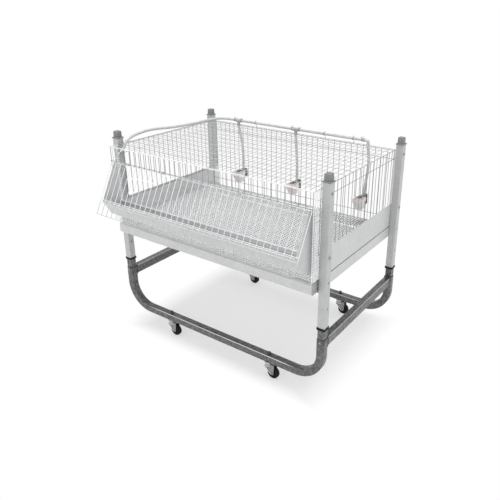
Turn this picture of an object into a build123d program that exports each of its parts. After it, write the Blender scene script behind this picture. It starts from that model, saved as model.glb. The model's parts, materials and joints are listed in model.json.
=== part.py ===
"""Single-tier wheeled rearing cage for young poultry, in millimetres, +Z up, front towards -Y."""
import os
from math import cos, hypot, pi, radians, sin

from build123d import *

os.makedirs("parts", exist_ok=True)

# Posts: four square tubes, placed by their centres
frame_length = 1000.0
frame_depth = 585.0
post_side = 30.0
post_wall = 1.5
post_corner = 2.0
post_rise = 23.0
lower_bolt_drop = 14.0
upper_bolt_drop = 16.0
lower_spare_rise = 82.0
upper_spare_rise = 185.0
spare_hole = 7.0
bolt_size = 6.0
bolt_head = 11.0
bolt_head_height = 4.0
bolt_clearance = 0.2

# Caps that plug the posts and carry the next tier
cap_side = 35.0
cap_flange = 4.0
cap_plug_side = 24.5
cap_plug_height = 25.0
cap_plug_taper = 2.0
cap_insert_depth = 18.0
cap_edge = 1.5

# Base: two bent tubes, the couplings in their legs, the collars and the two side ties
base_side = 32.0
base_wall = 2.5
base_corner = 5.0
base_bend = 108.0
leg_rise = 165.0
coupling_show = 45.0
coupling_wall = 2.0
coupling_insert = 60.0
coupling_clearance = 0.15
collar_side = 35.0
collar_recess = 4.0
collar_seat = 4.0
collar_corner = 3.0
tie_width = 25.0
tie_height = 38.0
tie_wall = 1.5
tie_plate = 3.0
tie_plate_margin = 3.0
tie_screw_inset = 15.0
tie_screw_gap = 11.0
leg_screw_drop = 12.0
screw_head = 8.0
screw_head_height = 2.5

# Casters: a bolted stem, a swivelling fork and a wheel that trails behind the stem
caster_height = 71.0
caster_spread = 530.0
caster_trail = 21.0
stem_size = 10.0
stem_clearance = 0.1
stem_hole_clearance = 0.2
stem_race = 34.0
stem_race_height = 4.0
stem_head = 17.0
stem_head_height = 3.0
stem_nut = 17.0
stem_nut_height = 8.0
stem_end = 3.0
swivel_gap = 0.3
fork_head = 34.0
fork_head_height = 6.4
fork_plate = 2.0
fork_eye = 8.0
wheel_diameter = 50.0
wheel_width = 18.0
wheel_hub = 20.0
wheel_hub_diameter = 18.0
wheel_rim = 37.0
wheel_dish = 3.0
wheel_crown = 4.0
wheel_side_gap = 0.5
axle_size = 6.0
axle_clearance = 0.1
axle_head = 2.0

# Sheet-metal skirts: a tall upper wall, a step that carries the floor and a runner for the tray
sheet = 1.2
runner_rise = 147.0
tray_space = 48.0
skirt_rise = 100.0
rail_rise = 6.0
ledge_step = 8.0
ledge_fold = 5.0
runner_flange = 15.0

# Wire panels, each a flat lattice of welded wires
wire = 2.5
wall_columns = 35
side_columns = 22
roof_columns = 21
roof_rows = 3
floor_columns = 21
floor_rows = 4
cage_height = 328.8
second_wire_drop = 37.0
low_wire_rise = 40.8
side_wire_lap = 8.0
cheek_depth = 44.0
cheek_lift = 3.8
cheek_rungs = 5
panel_gap = 0.3

# Front gate: a slanted flap of wires that hangs on a rod and leans over the trough
hinge_reach = 59.5
strip_drop = 57.0
hinge_rod = 5.0
hinge_clearance = 0.1
gate_angle = 28.0
gate_overhang = 56.0
gate_columns = 34
gate_side_gap = 2.0
gate_lip_wire_gap = 8.0
gate_double_gap = 16.0
gate_rest_gap = 0.5
knuckle_size = 10.0
knuckle_length = 12.0
knuckle_columns = (-14, -7, 0, 7, 14)

# Feed trough and its end plates
trough_inset = 15.0
trough_hem = 8.0
trough_heel_rise = 27.8
trough_toe_rise = 30.0
trough_toe_back = 36.0
trough_lip_rise = 63.0
trough_rear_reach = 16.0
trough_rear_rise = 55.0
trough_rear_lean = 6.0
end_plate_top = 6.0

# Droppings tray
tray_sheet = 1.0
tray_slack = 0.8
tray_lift = 0.3
tray_height = 44.0
tray_front_depth = 34.0
tray_front_gap = 5.5
tray_front_slack = 3.0
tray_front_bevel = 5.0

# Water line: hose, fittings, clips and three cup drinkers on the rear wall
hose_size = 12.0
hose_bore = 8.0
hose_bore_depth = 14.0
hose_lift = 21.5
hose_wall_gap = 2.0
hose_inset = 32.0
hose_reach = 34.6
drop_size = 12.0
fitting_wall = 2.0
fitting_length = 32.0
branch_length = 16.0
elbow_radius = 15.0
fit_gap = 0.1
clip_width = 8.0
clip_wall = 1.5
clip_stem = 4.0
clip_columns = (-4, 4, 7)
tee_columns = (-7, 0)
tee_shift = 15.0
elbow_column = 8
drinker_sway = (30.0, 15.0, -2.0)
cup_rise = 114.8
cup_height = 48.0
cup_width = 46.0
cup_depth = 60.0
cup_foot_width = 30.0
cup_foot_depth = 40.0
cup_corner = 10.0
cup_wall = 1.8
cup_stand = 22.0
hanger_width = 20.0
hanger_height = 6.0
hanger_drop = 20.0
bracket_width = 26.0
bracket_height = 46.0
bracket_plate = 3.0
bracket_lap = 30.0
valve_size = 14.0
valve_reach = 12.0
valve_rise = 8.0
valve_drop = 26.0
valve_web = 6.0
nose_width = 10.0
nose_height = 7.0
nose_reach = 24.0
trigger_pin = 3.0
trigger_pin_inset = 4.0
trigger_pin_clearance = 0.1
trigger_gap = 0.5
trigger_plate = 2.0
trigger_reach = 30.0
trigger_height = 6.0

# Heights, from the floor up
base_top = caster_height + base_side
run_height = caster_height + base_side / 2
axle_height = wheel_diameter / 2
leg_top = base_top + leg_rise
post_foot = leg_top + coupling_show
runner_height = post_foot + runner_rise
ledge_height = runner_height + tray_space
skirt_top = ledge_height + skirt_rise
rear_rail_top = ledge_height + rail_rise
floor_seat = ledge_height + sheet
cage_top = floor_seat + cage_height
roof_top = cage_top + wire
post_top = cage_top + post_rise
second_wire_height = cage_top - second_wire_drop
low_wire_height = floor_seat + low_wire_rise
side_wire_bottom = skirt_top - side_wire_lap
cheek_bottom = floor_seat + cheek_lift
hinge_height = cage_top - strip_drop
heel_height = floor_seat + trough_heel_rise
toe_height = heel_height + trough_toe_rise
lip_height = toe_height + trough_lip_rise
trough_rear_top = heel_height + trough_rear_rise
hose_height = roof_top + hose_lift
cup_top = floor_seat + cup_rise
lower_bolt = skirt_top - lower_bolt_drop
upper_bolt = cage_top - upper_bolt_drop
bolt_heights = (lower_bolt, upper_bolt)
spare_hole_heights = (post_foot + lower_spare_rise, post_foot + upper_spare_rise)

# Places that follow from the sizes
slope = radians(gate_angle)
rest_plane = -wire / 2 - gate_rest_gap
lip_reach = (hinge_height - lip_height + rest_plane * sin(slope)) / cos(slope)
gate_lip_wire = lip_reach - gate_lip_wire_gap
gate_length = lip_reach + gate_overhang
front_reach = frame_depth / 2 + hinge_reach + gate_length * sin(slope) + wire / 2 * cos(slope)
rear_reach = frame_depth / 2 + cap_side / 2
depth_shift = (front_reach - rear_reach) / 2
front_y = depth_shift - frame_depth / 2
rear_y = depth_shift + frame_depth / 2
hinge_y = front_y - hinge_reach
half_length = frame_length / 2
inner_x = half_length - post_side / 2
side_mesh_x = inner_x - sheet
panel_x = side_mesh_x - wire
runner_x = inner_x - ledge_step - sheet
post_front_y = front_y - post_side / 2
post_back_y = rear_y + post_side / 2
rear_wall_y = rear_y - post_side / 2
rear_mesh_y = rear_wall_y - sheet
wall_pitch = (2 * panel_x - wire) / wall_columns
roof_pitch = (2 * side_mesh_x - wire) / roof_columns
hose_y = rear_mesh_y - wire - hose_wall_gap - hose_size / 2
bracket_y = rear_mesh_y - wire - bracket_plate
valve_y = bracket_y - valve_reach
elbow_x = elbow_column * roof_pitch
tee_places = [column * roof_pitch + tee_shift for column in tee_columns]
drop_places = tee_places + [elbow_x]
drinker_places = [place + sway for place, sway in zip(drop_places, drinker_sway)]
corners = {
    "front_left": (-half_length, front_y),
    "front_right": (half_length, front_y),
    "rear_left": (-half_length, rear_y),
    "rear_right": (half_length, rear_y),
}
caster_places = {
    "front_left": (-caster_spread / 2, front_y),
    "front_right": (caster_spread / 2, front_y),
    "rear_left": (-caster_spread / 2, rear_y),
    "rear_right": (caster_spread / 2, rear_y),
}
sides = {"left": -1, "right": 1}


def keep(piece, name):
    """Label a finished piece and write it out under its own name."""
    piece.part.label = name
    export_step(piece.part, f"parts/{name}.step")


def keep_together(pieces, name):
    """Label sheets that touch along their folds as one piece and write them out under one name."""
    whole = Compound(label=name, children=[piece.part for piece in pieces])
    export_step(whole, f"parts/{name}.step")


def folded_sheet(line, thickness):
    """Outline of a sheet folded along a line of points, with its thickness on the line's right."""
    normals = []
    for (x0, y0), (x1, y1) in zip(line, line[1:]):
        run = hypot(x1 - x0, y1 - y0)
        normals.append(((y1 - y0) / run, (x0 - x1) / run))
    far_side = []
    for index, (x, y) in enumerate(line):
        ax, ay = normals[max(index - 1, 0)]
        bx, by = normals[min(index, len(normals) - 1)]
        reach = thickness / (1 + ax * bx + ay * by)
        far_side.append((x + (ax + bx) * reach, y + (ay + by) * reach))
    return list(line) + far_side[::-1]


def gate_point(along, out):
    """Point (y, z) that lies so far down the gate from the hinge axis and so far out from its middle."""
    return (
        hinge_y - along * sin(slope) - out * cos(slope),
        hinge_height - along * cos(slope) + out * sin(slope),
    )


def between(bars):
    """Middle and clear width of each gap between neighbouring wires, from the wires' middles."""
    return [((a + b) / 2, b - a - wire) for a, b in zip(bars, bars[1:])]


def even_bars(low, high, count):
    """Middles of evenly spaced wires that close a stretch from edge to edge with so many gaps."""
    first = low + wire / 2
    step = (high - low - wire) / count
    return [first + step * index for index in range(count + 1)]


def lattice(plane, columns, rows):
    """Flat wire panel on a plane, from the middles of its upright wires and of its cross wires."""
    width = columns[-1] - columns[0] + wire
    height = rows[-1] - rows[0] + wire
    middle_x = (columns[0] + columns[-1]) / 2
    pitch = (columns[-1] - columns[0]) / (len(columns) - 1)
    with BuildPart() as panel:
        with BuildSketch(plane):
            with Locations((middle_x, (rows[0] + rows[-1]) / 2)):
                Rectangle(width, height)
            for middle_y, gap in between(rows):
                with Locations((middle_x, middle_y)):
                    with GridLocations(pitch, gap, len(columns) - 1, 1):
                        Rectangle(pitch - wire, gap, mode=Mode.SUBTRACT)
        extrude(amount=wire)
    return panel


# Posts with their bolt holes and the spare holes for fittings
for corner, (x, y) in corners.items():
    with BuildPart() as post:
        with BuildSketch(Plane((x, y, post_foot))):
            RectangleRounded(post_side, post_side, post_corner)
            Rectangle(post_side - 2 * post_wall, post_side - 2 * post_wall, mode=Mode.SUBTRACT)
        extrude(amount=post_top - post_foot)
        with BuildSketch(Plane.YZ.offset(x)):
            with Locations([(y, height) for height in bolt_heights]):
                Circle(bolt_size / 2 + bolt_clearance)
            with Locations([(y, height) for height in spare_hole_heights]):
                Circle(spare_hole / 2)
        extrude(amount=post_side, both=True, mode=Mode.SUBTRACT)
    keep(post, f"post_{corner}")

# Caps: a flange on the post, a tapered plug above it and an insert inside the tube
for corner, (x, y) in corners.items():
    insert_side = post_side - 2 * post_wall - 2 * coupling_clearance
    with BuildPart() as cap:
        with BuildSketch(Plane((x, y, post_top))):
            Rectangle(cap_side, cap_side)
        extrude(amount=cap_flange)
        chamfer(cap.edges().group_by(Axis.Z)[-1], cap_edge)
        with BuildSketch(Plane((x, y, post_top + cap_flange))):
            Rectangle(cap_plug_side, cap_plug_side)
        extrude(amount=cap_plug_height, taper=cap_plug_taper)
        chamfer(cap.edges().group_by(Axis.Z)[-1], cap_edge)
        with BuildSketch(Plane((x, y, post_top))):
            Rectangle(insert_side, insert_side)
        extrude(amount=-cap_insert_depth)
    keep(cap, f"post_cap_{corner}")

# Collars under the posts, each with a recess for the post and a hole for the coupling
for corner, (x, y) in corners.items():
    coupling_side = post_side - 2 * post_wall - 2 * coupling_clearance
    with BuildPart() as collar:
        with BuildSketch(Plane((x, y, post_foot - collar_seat))):
            RectangleRounded(collar_side, collar_side, collar_corner)
            Rectangle(coupling_side + 2 * coupling_clearance, coupling_side + 2 * coupling_clearance,
                      mode=Mode.SUBTRACT)
        extrude(amount=collar_seat)
        with BuildSketch(Plane((x, y, post_foot))):
            RectangleRounded(collar_side, collar_side, collar_corner)
            Rectangle(post_side + 2 * coupling_clearance, post_side + 2 * coupling_clearance,
                      mode=Mode.SUBTRACT)
        extrude(amount=collar_recess)
    keep(collar, f"leg_collar_{corner}")

# Couplings: square tubes that reach from the base legs up into the posts
for corner, (x, y) in corners.items():
    coupling_side = post_side - 2 * post_wall - 2 * coupling_clearance
    coupling_foot = leg_top - coupling_insert
    with BuildPart() as coupling:
        with BuildSketch(Plane((x, y, coupling_foot))):
            Rectangle(coupling_side, coupling_side)
            Rectangle(coupling_side - 2 * coupling_wall, coupling_side - 2 * coupling_wall,
                      mode=Mode.SUBTRACT)
        extrude(amount=post_foot + coupling_insert - coupling_foot)
    keep(coupling, f"leg_coupling_{corner}")

# Base tubes: each rises into two legs through wide bends
for end, y in (("front", front_y), ("rear", rear_y)):
    with BuildPart() as base_tube:
        with BuildLine(Plane.XZ.offset(-y)):
            FilletPolyline(
                (-half_length, leg_top),
                (-half_length, run_height),
                (half_length, run_height),
                (half_length, leg_top),
                radius=base_bend,
            )
        with BuildSketch(Plane((-half_length, y, leg_top))):
            RectangleRounded(base_side, base_side, base_corner)
            Rectangle(base_side - 2 * base_wall, base_side - 2 * base_wall, mode=Mode.SUBTRACT)
        sweep()
        with Locations((-caster_spread / 2, y, run_height), (caster_spread / 2, y, run_height)):
            Cylinder(stem_size / 2 + stem_hole_clearance, 2 * base_side, mode=Mode.SUBTRACT)
    keep(base_tube, f"base_tube_{end}")

# Side ties between the front and rear legs, with a plate welded on each end
for side, sign in sides.items():
    tie_front = front_y + base_side / 2
    tie_back = rear_y - base_side / 2
    tie_middle = (sign * half_length, leg_top - tie_height / 2)
    with BuildPart() as tie:
        with BuildSketch(Plane.XZ.offset(-tie_back)):
            with Locations(tie_middle):
                Rectangle(tie_width, tie_height)
                Rectangle(tie_width - 2 * tie_wall, tie_height - 2 * tie_wall, mode=Mode.SUBTRACT)
        extrude(amount=tie_back - tie_front)
        for plate_y in (tie_back, tie_front + tie_plate):
            with BuildSketch(Plane.XZ.offset(-plate_y)):
                with Locations(tie_middle):
                    Rectangle(tie_width + 2 * tie_plate_margin, tie_height + 2 * tie_plate_margin)
            extrude(amount=tie_plate)
    keep(tie, f"side_tie_{side}")

# Side skirts, folded from one sheet along the inner faces of the posts, with a pinched step for the floor
for side, sign in sides.items():
    fold = [
        (inner_x, skirt_top),
        (inner_x, ledge_height),
        (inner_x - ledge_step, ledge_height),
        (inner_x - ledge_step, ledge_height - ledge_fold),
        (inner_x, ledge_height - ledge_fold),
        (inner_x, runner_height),
        (inner_x - ledge_step - runner_flange, runner_height),
    ]
    with BuildPart() as skirt:
        with BuildSketch(Plane.XZ.offset(-post_back_y)):
            Polygon(*[(sign * x, z) for x, z in folded_sheet(fold, sheet)], align=None)
        extrude(amount=post_back_y - post_front_y)
        with BuildSketch(Plane.YZ.offset(sign * inner_x)):
            with Locations((front_y, lower_bolt), (rear_y, lower_bolt)):
                Circle(bolt_size / 2 + bolt_clearance)
        extrude(amount=2 * sheet, both=True, mode=Mode.SUBTRACT)
    keep(skirt, f"side_skirt_{side}")

# Rear rail, folded like the skirts and fitted between their lower bands
rail_fold = [
    (rear_wall_y, rear_rail_top),
    (rear_wall_y, ledge_height),
    (rear_wall_y - ledge_step, ledge_height),
    (rear_wall_y - ledge_step, runner_height + sheet),
]
with BuildPart() as rear_rail:
    with BuildSketch(Plane.YZ.offset(-runner_x)):
        Polygon(*folded_sheet(rail_fold, sheet), align=None)
    extrude(amount=2 * runner_x)
keep(rear_rail, "rear_rail")

# Side panels: the wall above the skirt, and a ladder of rungs in front of the post
cheek_front = hinge_y - wire / 2
cheek_back = cheek_front + cheek_depth
side_plane_x = {"left": -side_mesh_x, "right": panel_x}
for side in sides:
    side_plane = Plane.YZ.offset(side_plane_x[side])
    wall_rows = [side_wire_bottom + wire / 2, second_wire_height, cage_top - wire / 2]
    rungs = even_bars(cheek_bottom, hinge_height + wire / 2, cheek_rungs)
    wall = lattice(side_plane, even_bars(cheek_back - wire, post_back_y, side_columns), wall_rows)
    cheek = lattice(side_plane, even_bars(cheek_front, cheek_back, 1), rungs + [cage_top - wire / 2])
    with BuildPart() as side_panel:
        add(wall.part)
        add(cheek.part)
    keep(side_panel, f"side_mesh_{side}")

# Rear panel, standing on the rail's step between the side panels
rear_rows = [floor_seat + wire / 2, low_wire_height, second_wire_height, cage_top - wire / 2]
rear_mesh = lattice(Plane.XZ.offset(-rear_mesh_y), even_bars(-panel_x, panel_x, wall_columns), rear_rows)
keep(rear_mesh, "rear_mesh")

# Roof panel on top of the walls
roof_bars = even_bars(cheek_front, rear_mesh_y, roof_rows)
roof_mesh = lattice(Plane.XY.offset(cage_top), even_bars(-side_mesh_x, side_mesh_x, roof_columns), roof_bars)
keep(roof_mesh, "roof_mesh")

# Floor panel on the steps of the skirts and of the rear rail
floor_half = side_mesh_x - panel_gap
floor_front = hinge_y + trough_rear_reach + sheet
floor_bars = even_bars(floor_front, rear_mesh_y - wire - panel_gap, floor_rows)
floor_mesh = lattice(Plane.XY.offset(floor_seat), even_bars(-floor_half, floor_half, floor_columns), floor_bars)
keep(floor_mesh, "floor_mesh")

# Strip above the gate: short uprights that end on the hinge rod
with BuildPart() as front_strip:
    strip_height = cage_top - hinge_height
    with BuildSketch(Plane.XZ.offset(-hinge_y - wire / 2)):
        with Locations((0, hinge_height + strip_height / 2)):
            Rectangle(2 * panel_x, strip_height)
        with Locations((0, hinge_height + (strip_height - wire) / 2)):
            with GridLocations(wall_pitch, strip_height, wall_columns, 1):
                Rectangle(wall_pitch - wire, strip_height - wire, mode=Mode.SUBTRACT)
    extrude(amount=wire)
    with BuildSketch(Plane.YZ.offset(-panel_x)):
        with Locations((hinge_y, hinge_height)):
            Circle(hinge_rod / 2)
    extrude(amount=2 * panel_x)
keep(front_strip, "front_strip")

# Gate: a slanted flap with a double wire at the trough's lip and tubes that turn on the rod
gate_plane = Plane(origin=(0, hinge_y, hinge_height), x_dir=(1, 0, 0), z_dir=(0, -cos(slope), sin(slope)))
gate_half = panel_x - gate_side_gap
gate_rows = [
    -gate_length + wire / 2,
    -gate_lip_wire - gate_double_gap,
    -gate_lip_wire,
    -knuckle_size / 2 - wire / 4,
]
gate_panel = lattice(gate_plane.offset(-wire / 2), even_bars(-gate_half, gate_half, gate_columns), gate_rows)
with BuildPart() as gate:
    add(gate_panel.part)
    for column in knuckle_columns:
        with BuildSketch(Plane.YZ.offset(column * wall_pitch - knuckle_length / 2)):
            with Locations((hinge_y, hinge_height)):
                Circle(knuckle_size / 2)
        extrude(amount=knuckle_length)
    with BuildSketch(Plane.YZ.offset(-panel_x)):
        with Locations((hinge_y, hinge_height)):
            Circle(hinge_rod / 2 + hinge_clearance)
    extrude(amount=2 * panel_x, mode=Mode.SUBTRACT)
keep(gate, "front_gate")

# Feed trough: a folded sheet between two end plates, whose flanges bear on the side panels
trough_half = panel_x - trough_inset
lip = gate_point(lip_reach, rest_plane)
toe = (lip[0] + trough_toe_back, toe_height)
rear_plate_y = hinge_y + trough_rear_reach
heel = (rear_plate_y - trough_rear_lean, heel_height)
trough_line = [(rear_plate_y, trough_rear_top), heel, toe, lip, (lip[0] + trough_hem, lip[1])]
plate_top = gate_point(end_plate_top, rest_plane)
plate_outline = [(rear_plate_y, plate_top[1]), (rear_plate_y, heel_height), heel, toe, lip, plate_top]
with BuildPart() as trough:
    with BuildSketch(Plane.YZ.offset(-trough_half)):
        Polygon(*folded_sheet(trough_line, sheet), align=None)
    extrude(amount=2 * trough_half)
    for plate_x in (-trough_half - sheet, trough_half):
        with BuildSketch(Plane.YZ.offset(plate_x)):
            Polygon(*plate_outline, align=None)
        extrude(amount=sheet)
    flange_width = trough_inset - sheet
    flange_height = plate_top[1] - heel_height
    for sign in sides.values():
        flange_middle = sign * (trough_half + sheet + flange_width / 2)
        with Locations((flange_middle, rear_plate_y - sheet / 2, heel_height + flange_height / 2)):
            Box(flange_width, sheet, flange_height)
keep(trough, "feed_trough")

# Droppings tray with a folded front that serves as its pull
tray_half = runner_x - tray_slack
tray_foot = runner_height + sheet + tray_lift
tray_back = rear_wall_y - ledge_step - sheet - tray_slack
tray_front = post_front_y - tray_front_gap
tray_middle = (tray_back + tray_front) / 2
front_half = inner_x - tray_front_slack
front_face = tray_front - tray_front_depth
front_top = tray_foot + tray_height
front_fold = [
    (tray_front, tray_foot),
    (front_face + tray_front_bevel, tray_foot),
    (front_face, tray_foot + tray_front_bevel),
    (front_face, front_top - tray_front_bevel),
    (front_face + tray_front_bevel, front_top),
    (tray_front, front_top),
]
tray_sheets = []
tray_depth = tray_back - tray_front
with BuildPart() as tray_floor:
    with BuildSketch(Plane((0, tray_middle, tray_foot))):
        Rectangle(2 * tray_half, tray_depth)
    extrude(amount=tray_sheet)
tray_sheets.append(tray_floor)
wall_inset = tray_sheet / 2
wall_height = tray_height - tray_sheet
wall_level = tray_foot + tray_sheet
for sign in sides.values():
    with BuildPart() as tray_side:
        with BuildSketch(Plane((sign * (tray_half - wall_inset), tray_middle, wall_level))):
            Rectangle(tray_sheet, tray_depth)
        extrude(amount=wall_height)
    tray_sheets.append(tray_side)
for wall_y in (tray_front + wall_inset, tray_back - wall_inset):
    with BuildPart() as tray_end:
        with BuildSketch(Plane((0, wall_y, wall_level))):
            Rectangle(2 * tray_half - 2 * tray_sheet, tray_sheet)
        extrude(amount=wall_height)
    tray_sheets.append(tray_end)
front_outline = folded_sheet(front_fold, tray_sheet)
for index in range(len(front_fold) - 1):
    strip = front_outline[index:index + 2] + front_outline[-index - 2:len(front_outline) - index]
    with BuildPart() as tray_front_strip:
        with BuildSketch(Plane.YZ.offset(-front_half)):
            Polygon(*strip, align=None)
        extrude(amount=2 * front_half)
    tray_sheets.append(tray_front_strip)
keep_together(tray_sheets, "droppings_tray")

# Caster stems: race under the tube, nut on top of it and a head that holds the fork
race_foot = caster_height - stem_race_height
fork_top = race_foot - swivel_gap
fork_foot = fork_top - fork_head_height
head_top = fork_foot - swivel_gap
with BuildPart() as stems:
    for x, y in caster_places.values():
        with BuildSketch(Plane((x, y, head_top))):
            Circle(stem_size / 2)
        extrude(amount=base_top + stem_nut_height + stem_end - head_top)
        with BuildSketch(Plane((x, y, race_foot))):
            Circle(stem_race / 2)
        extrude(amount=stem_race_height)
        with BuildSketch(Plane((x, y, head_top))):
            Circle(stem_head / 2)
        extrude(amount=-stem_head_height)
        with BuildSketch(Plane((x, y, base_top))):
            RegularPolygon(stem_nut / 2, 6)
        extrude(amount=stem_nut_height)
keep(stems, "caster_stems")

# Forks: a round head on the stem and two cheeks that trail down to the axle
fork_gap = wheel_hub + 2 * wheel_side_gap
for corner, (x, y) in caster_places.items():
    axle_x = x + caster_trail
    with BuildPart() as fork:
        with BuildSketch(Plane((x, y, fork_foot))):
            Circle(fork_head / 2)
        extrude(amount=fork_head_height)
        chamfer(fork.edges().group_by(Axis.Z)[-1], fork_plate)
        for cheek_y in (y - fork_gap / 2, y + fork_gap / 2 + fork_plate):
            with BuildSketch(Plane.XZ.offset(-cheek_y)):
                with Locations((axle_x, axle_height)):
                    Circle(fork_eye)
                with Locations((x, fork_foot - fork_plate / 2)):
                    Rectangle(fork_head - 2 * fork_eye, fork_plate)
                make_hull()
            extrude(amount=fork_plate)
        with BuildSketch(Plane.XZ.offset(-y - fork_gap / 2 - fork_plate - axle_head)):
            with Locations((axle_x, axle_height)):
                Circle(axle_size / 2)
        extrude(amount=fork_gap + 2 * fork_plate + 2 * axle_head)
        with BuildSketch(Plane((x, y, fork_foot))):
            Circle(stem_size / 2 + stem_clearance)
        extrude(amount=fork_head_height, mode=Mode.SUBTRACT)
    keep(fork, f"caster_fork_{corner}")

# Wheels: a crowned tread, dished faces and a hub that stands proud
for corner, (x, y) in caster_places.items():
    axle_x = x + caster_trail
    tread = wheel_diameter / 2
    with BuildPart() as wheel:
        with BuildSketch(Plane(origin=(axle_x, y, axle_height), x_dir=(0, 1, 0), z_dir=(1, 0, 0))):
            with BuildLine():
                Polyline(
                    (wheel_width / 2 - wheel_crown, tread),
                    (wheel_width / 2 - wheel_crown / 3, tread - wheel_crown / 3),
                    (wheel_width / 2, tread - wheel_crown),
                    (wheel_width / 2, wheel_rim / 2),
                    (wheel_width / 2 - wheel_dish, wheel_rim / 2),
                    (wheel_width / 2 - wheel_dish, wheel_hub_diameter / 2),
                    (wheel_hub / 2, wheel_hub_diameter / 2),
                    (wheel_hub / 2, axle_size / 2 + axle_clearance),
                    (0, axle_size / 2 + axle_clearance),
                )
                mirror(about=Plane.YZ)
                Line((wheel_width / 2 - wheel_crown, tread), (wheel_crown - wheel_width / 2, tread))
            make_face()
        revolve(axis=Axis((axle_x, y, axle_height), (0, 1, 0)))
    keep(wheel, f"caster_wheel_{corner}")

# Bolts through the posts, and the screws of the ties and legs
with BuildPart() as bolts:
    for corner, (x, y) in corners.items():
        sign = 1 if x > 0 else -1
        for height in bolt_heights:
            tip_x = sign * (side_mesh_x if height == lower_bolt else inner_x)
            with BuildSketch(Plane.YZ.offset(x + sign * post_side / 2)):
                with Locations((y, height)):
                    RegularPolygon(bolt_head / 2, 6)
            extrude(amount=sign * bolt_head_height)
            with BuildSketch(Plane.YZ.offset(tip_x)):
                with Locations((y, height)):
                    Circle(bolt_size / 2)
            extrude(amount=x + sign * post_side / 2 - tip_x)
        outward = 1 if y > 0 else -1
        screw_y = y - outward * (base_side / 2 + tie_screw_inset)
        with BuildSketch(Plane.YZ.offset(sign * (half_length + tie_width / 2))):
            with Locations((screw_y, leg_top - tie_height / 2)):
                with GridLocations(0, tie_screw_gap, 1, 2):
                    RegularPolygon(screw_head / 2, 6)
        extrude(amount=sign * screw_head_height)
        with BuildSketch(Plane.XZ.offset(-y - outward * base_side / 2)):
            with Locations((x, leg_top - leg_screw_drop)):
                RegularPolygon(screw_head / 2, 6)
        extrude(amount=-outward * screw_head_height)
keep(bolts, "frame_bolts")

# Hose: from its open end beside the front-left post, up through the roof's corner and along the rear wall
hose_x = panel_x - hose_size / 2 - hose_wall_gap
hose_end_x = half_length - hose_inset
hose_run = hose_y - front_y
hose_route = [
    ((-hose_end_x, front_y - hose_reach, hose_height - 60), 0),
    ((-hose_end_x, front_y - hose_reach + 30, hose_height - 46), 48),
    ((-hose_end_x, front_y + 19, hose_height - 3), 48),
    ((-hose_x, front_y + 0.22 * hose_run, hose_height + 9.5), 200),
    ((-hose_x, front_y + 0.37 * hose_run, hose_height + 4), 400),
    ((-hose_x, front_y + 0.53 * hose_run, hose_height - 7), 400),
    ((-hose_x, front_y + 0.78 * hose_run, hose_height - 13.5), 400),
    ((-hose_x, hose_y - 50, hose_height - 14.5), 90),
    ((-hose_x + 12, hose_y - 14, hose_height - 12), 40),
    ((-hose_x + 52, hose_y, hose_height - 4), 80),
    ((-hose_x + 110, hose_y, hose_height), 200),
    ((elbow_x - elbow_radius, hose_y, hose_height), 0),
]


def hose(route, size):
    """Round hose along a route of points and bend radii, checked by its volume over its length."""
    points = [Vector(*point) for point, _ in route]
    radii = [radius for _, radius in route[1:-1]]
    with BuildPart() as tube:
        with BuildLine() as path:
            FilletPolyline(*points, radius=radii)
        with BuildSketch(Plane(origin=points[0], z_dir=points[1] - points[0])):
            Circle(size / 2)
        sweep()
    length = sum(edge.length for edge in path.edges())
    share = tube.part.volume / (pi * size ** 2 / 4 * length)
    print(f"hose length {length:.0f} mm, volume share {share:.4f}, radii {radii}")
    return tube


main_hose = hose(hose_route, hose_size)
hose_end = Vector(*hose_route[0][0])
hose_first_bend = Vector(*hose_route[1][0])
inlet = Plane(origin=hose_end, z_dir=hose_first_bend - hose_end)
with BuildPart() as water_hose:
    add(main_hose.part)
    with BuildSketch(inlet):
        Circle(hose_bore / 2)
    extrude(amount=hose_bore_depth, mode=Mode.SUBTRACT)
keep(water_hose, "water_hose")

# Fittings: two saddle tees on the hose and an elbow at its end
sleeve = hose_size + 2 * fit_gap + 2 * fitting_wall
branch_end = hose_height - sleeve / 2 - branch_length
with BuildPart() as fittings:
    for place in tee_places:
        with BuildSketch(Plane.YZ.offset(place - fitting_length / 2)):
            with Locations((hose_y, hose_height)):
                Circle(sleeve / 2)
        extrude(amount=fitting_length)
        with BuildSketch(Plane((place, hose_y, branch_end))):
            Circle(hose_size / 2)
        extrude(amount=hose_height - branch_end)
    with BuildSketch(Plane.YZ.offset(-panel_x)):
        with Locations((hose_y, hose_height)):
            Circle(hose_size / 2 + fit_gap)
    extrude(amount=panel_x + elbow_x - elbow_radius, mode=Mode.SUBTRACT)
with BuildPart() as elbow:
    with BuildLine(Plane.XZ.offset(-hose_y)):
        FilletPolyline(
            (elbow_x - elbow_radius, hose_height),
            (elbow_x, hose_height),
            (elbow_x, branch_end),
            radius=elbow_radius * 0.9,
        )
    with BuildSketch(Plane.YZ.offset(elbow_x - elbow_radius)):
        with Locations((hose_y, hose_height)):
            Circle(hose_size / 2 + fitting_wall / 2)
    sweep()
with BuildPart() as hose_fittings:
    add(fittings.part)
    add(elbow.part)
keep(hose_fittings, "hose_fittings")

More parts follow.
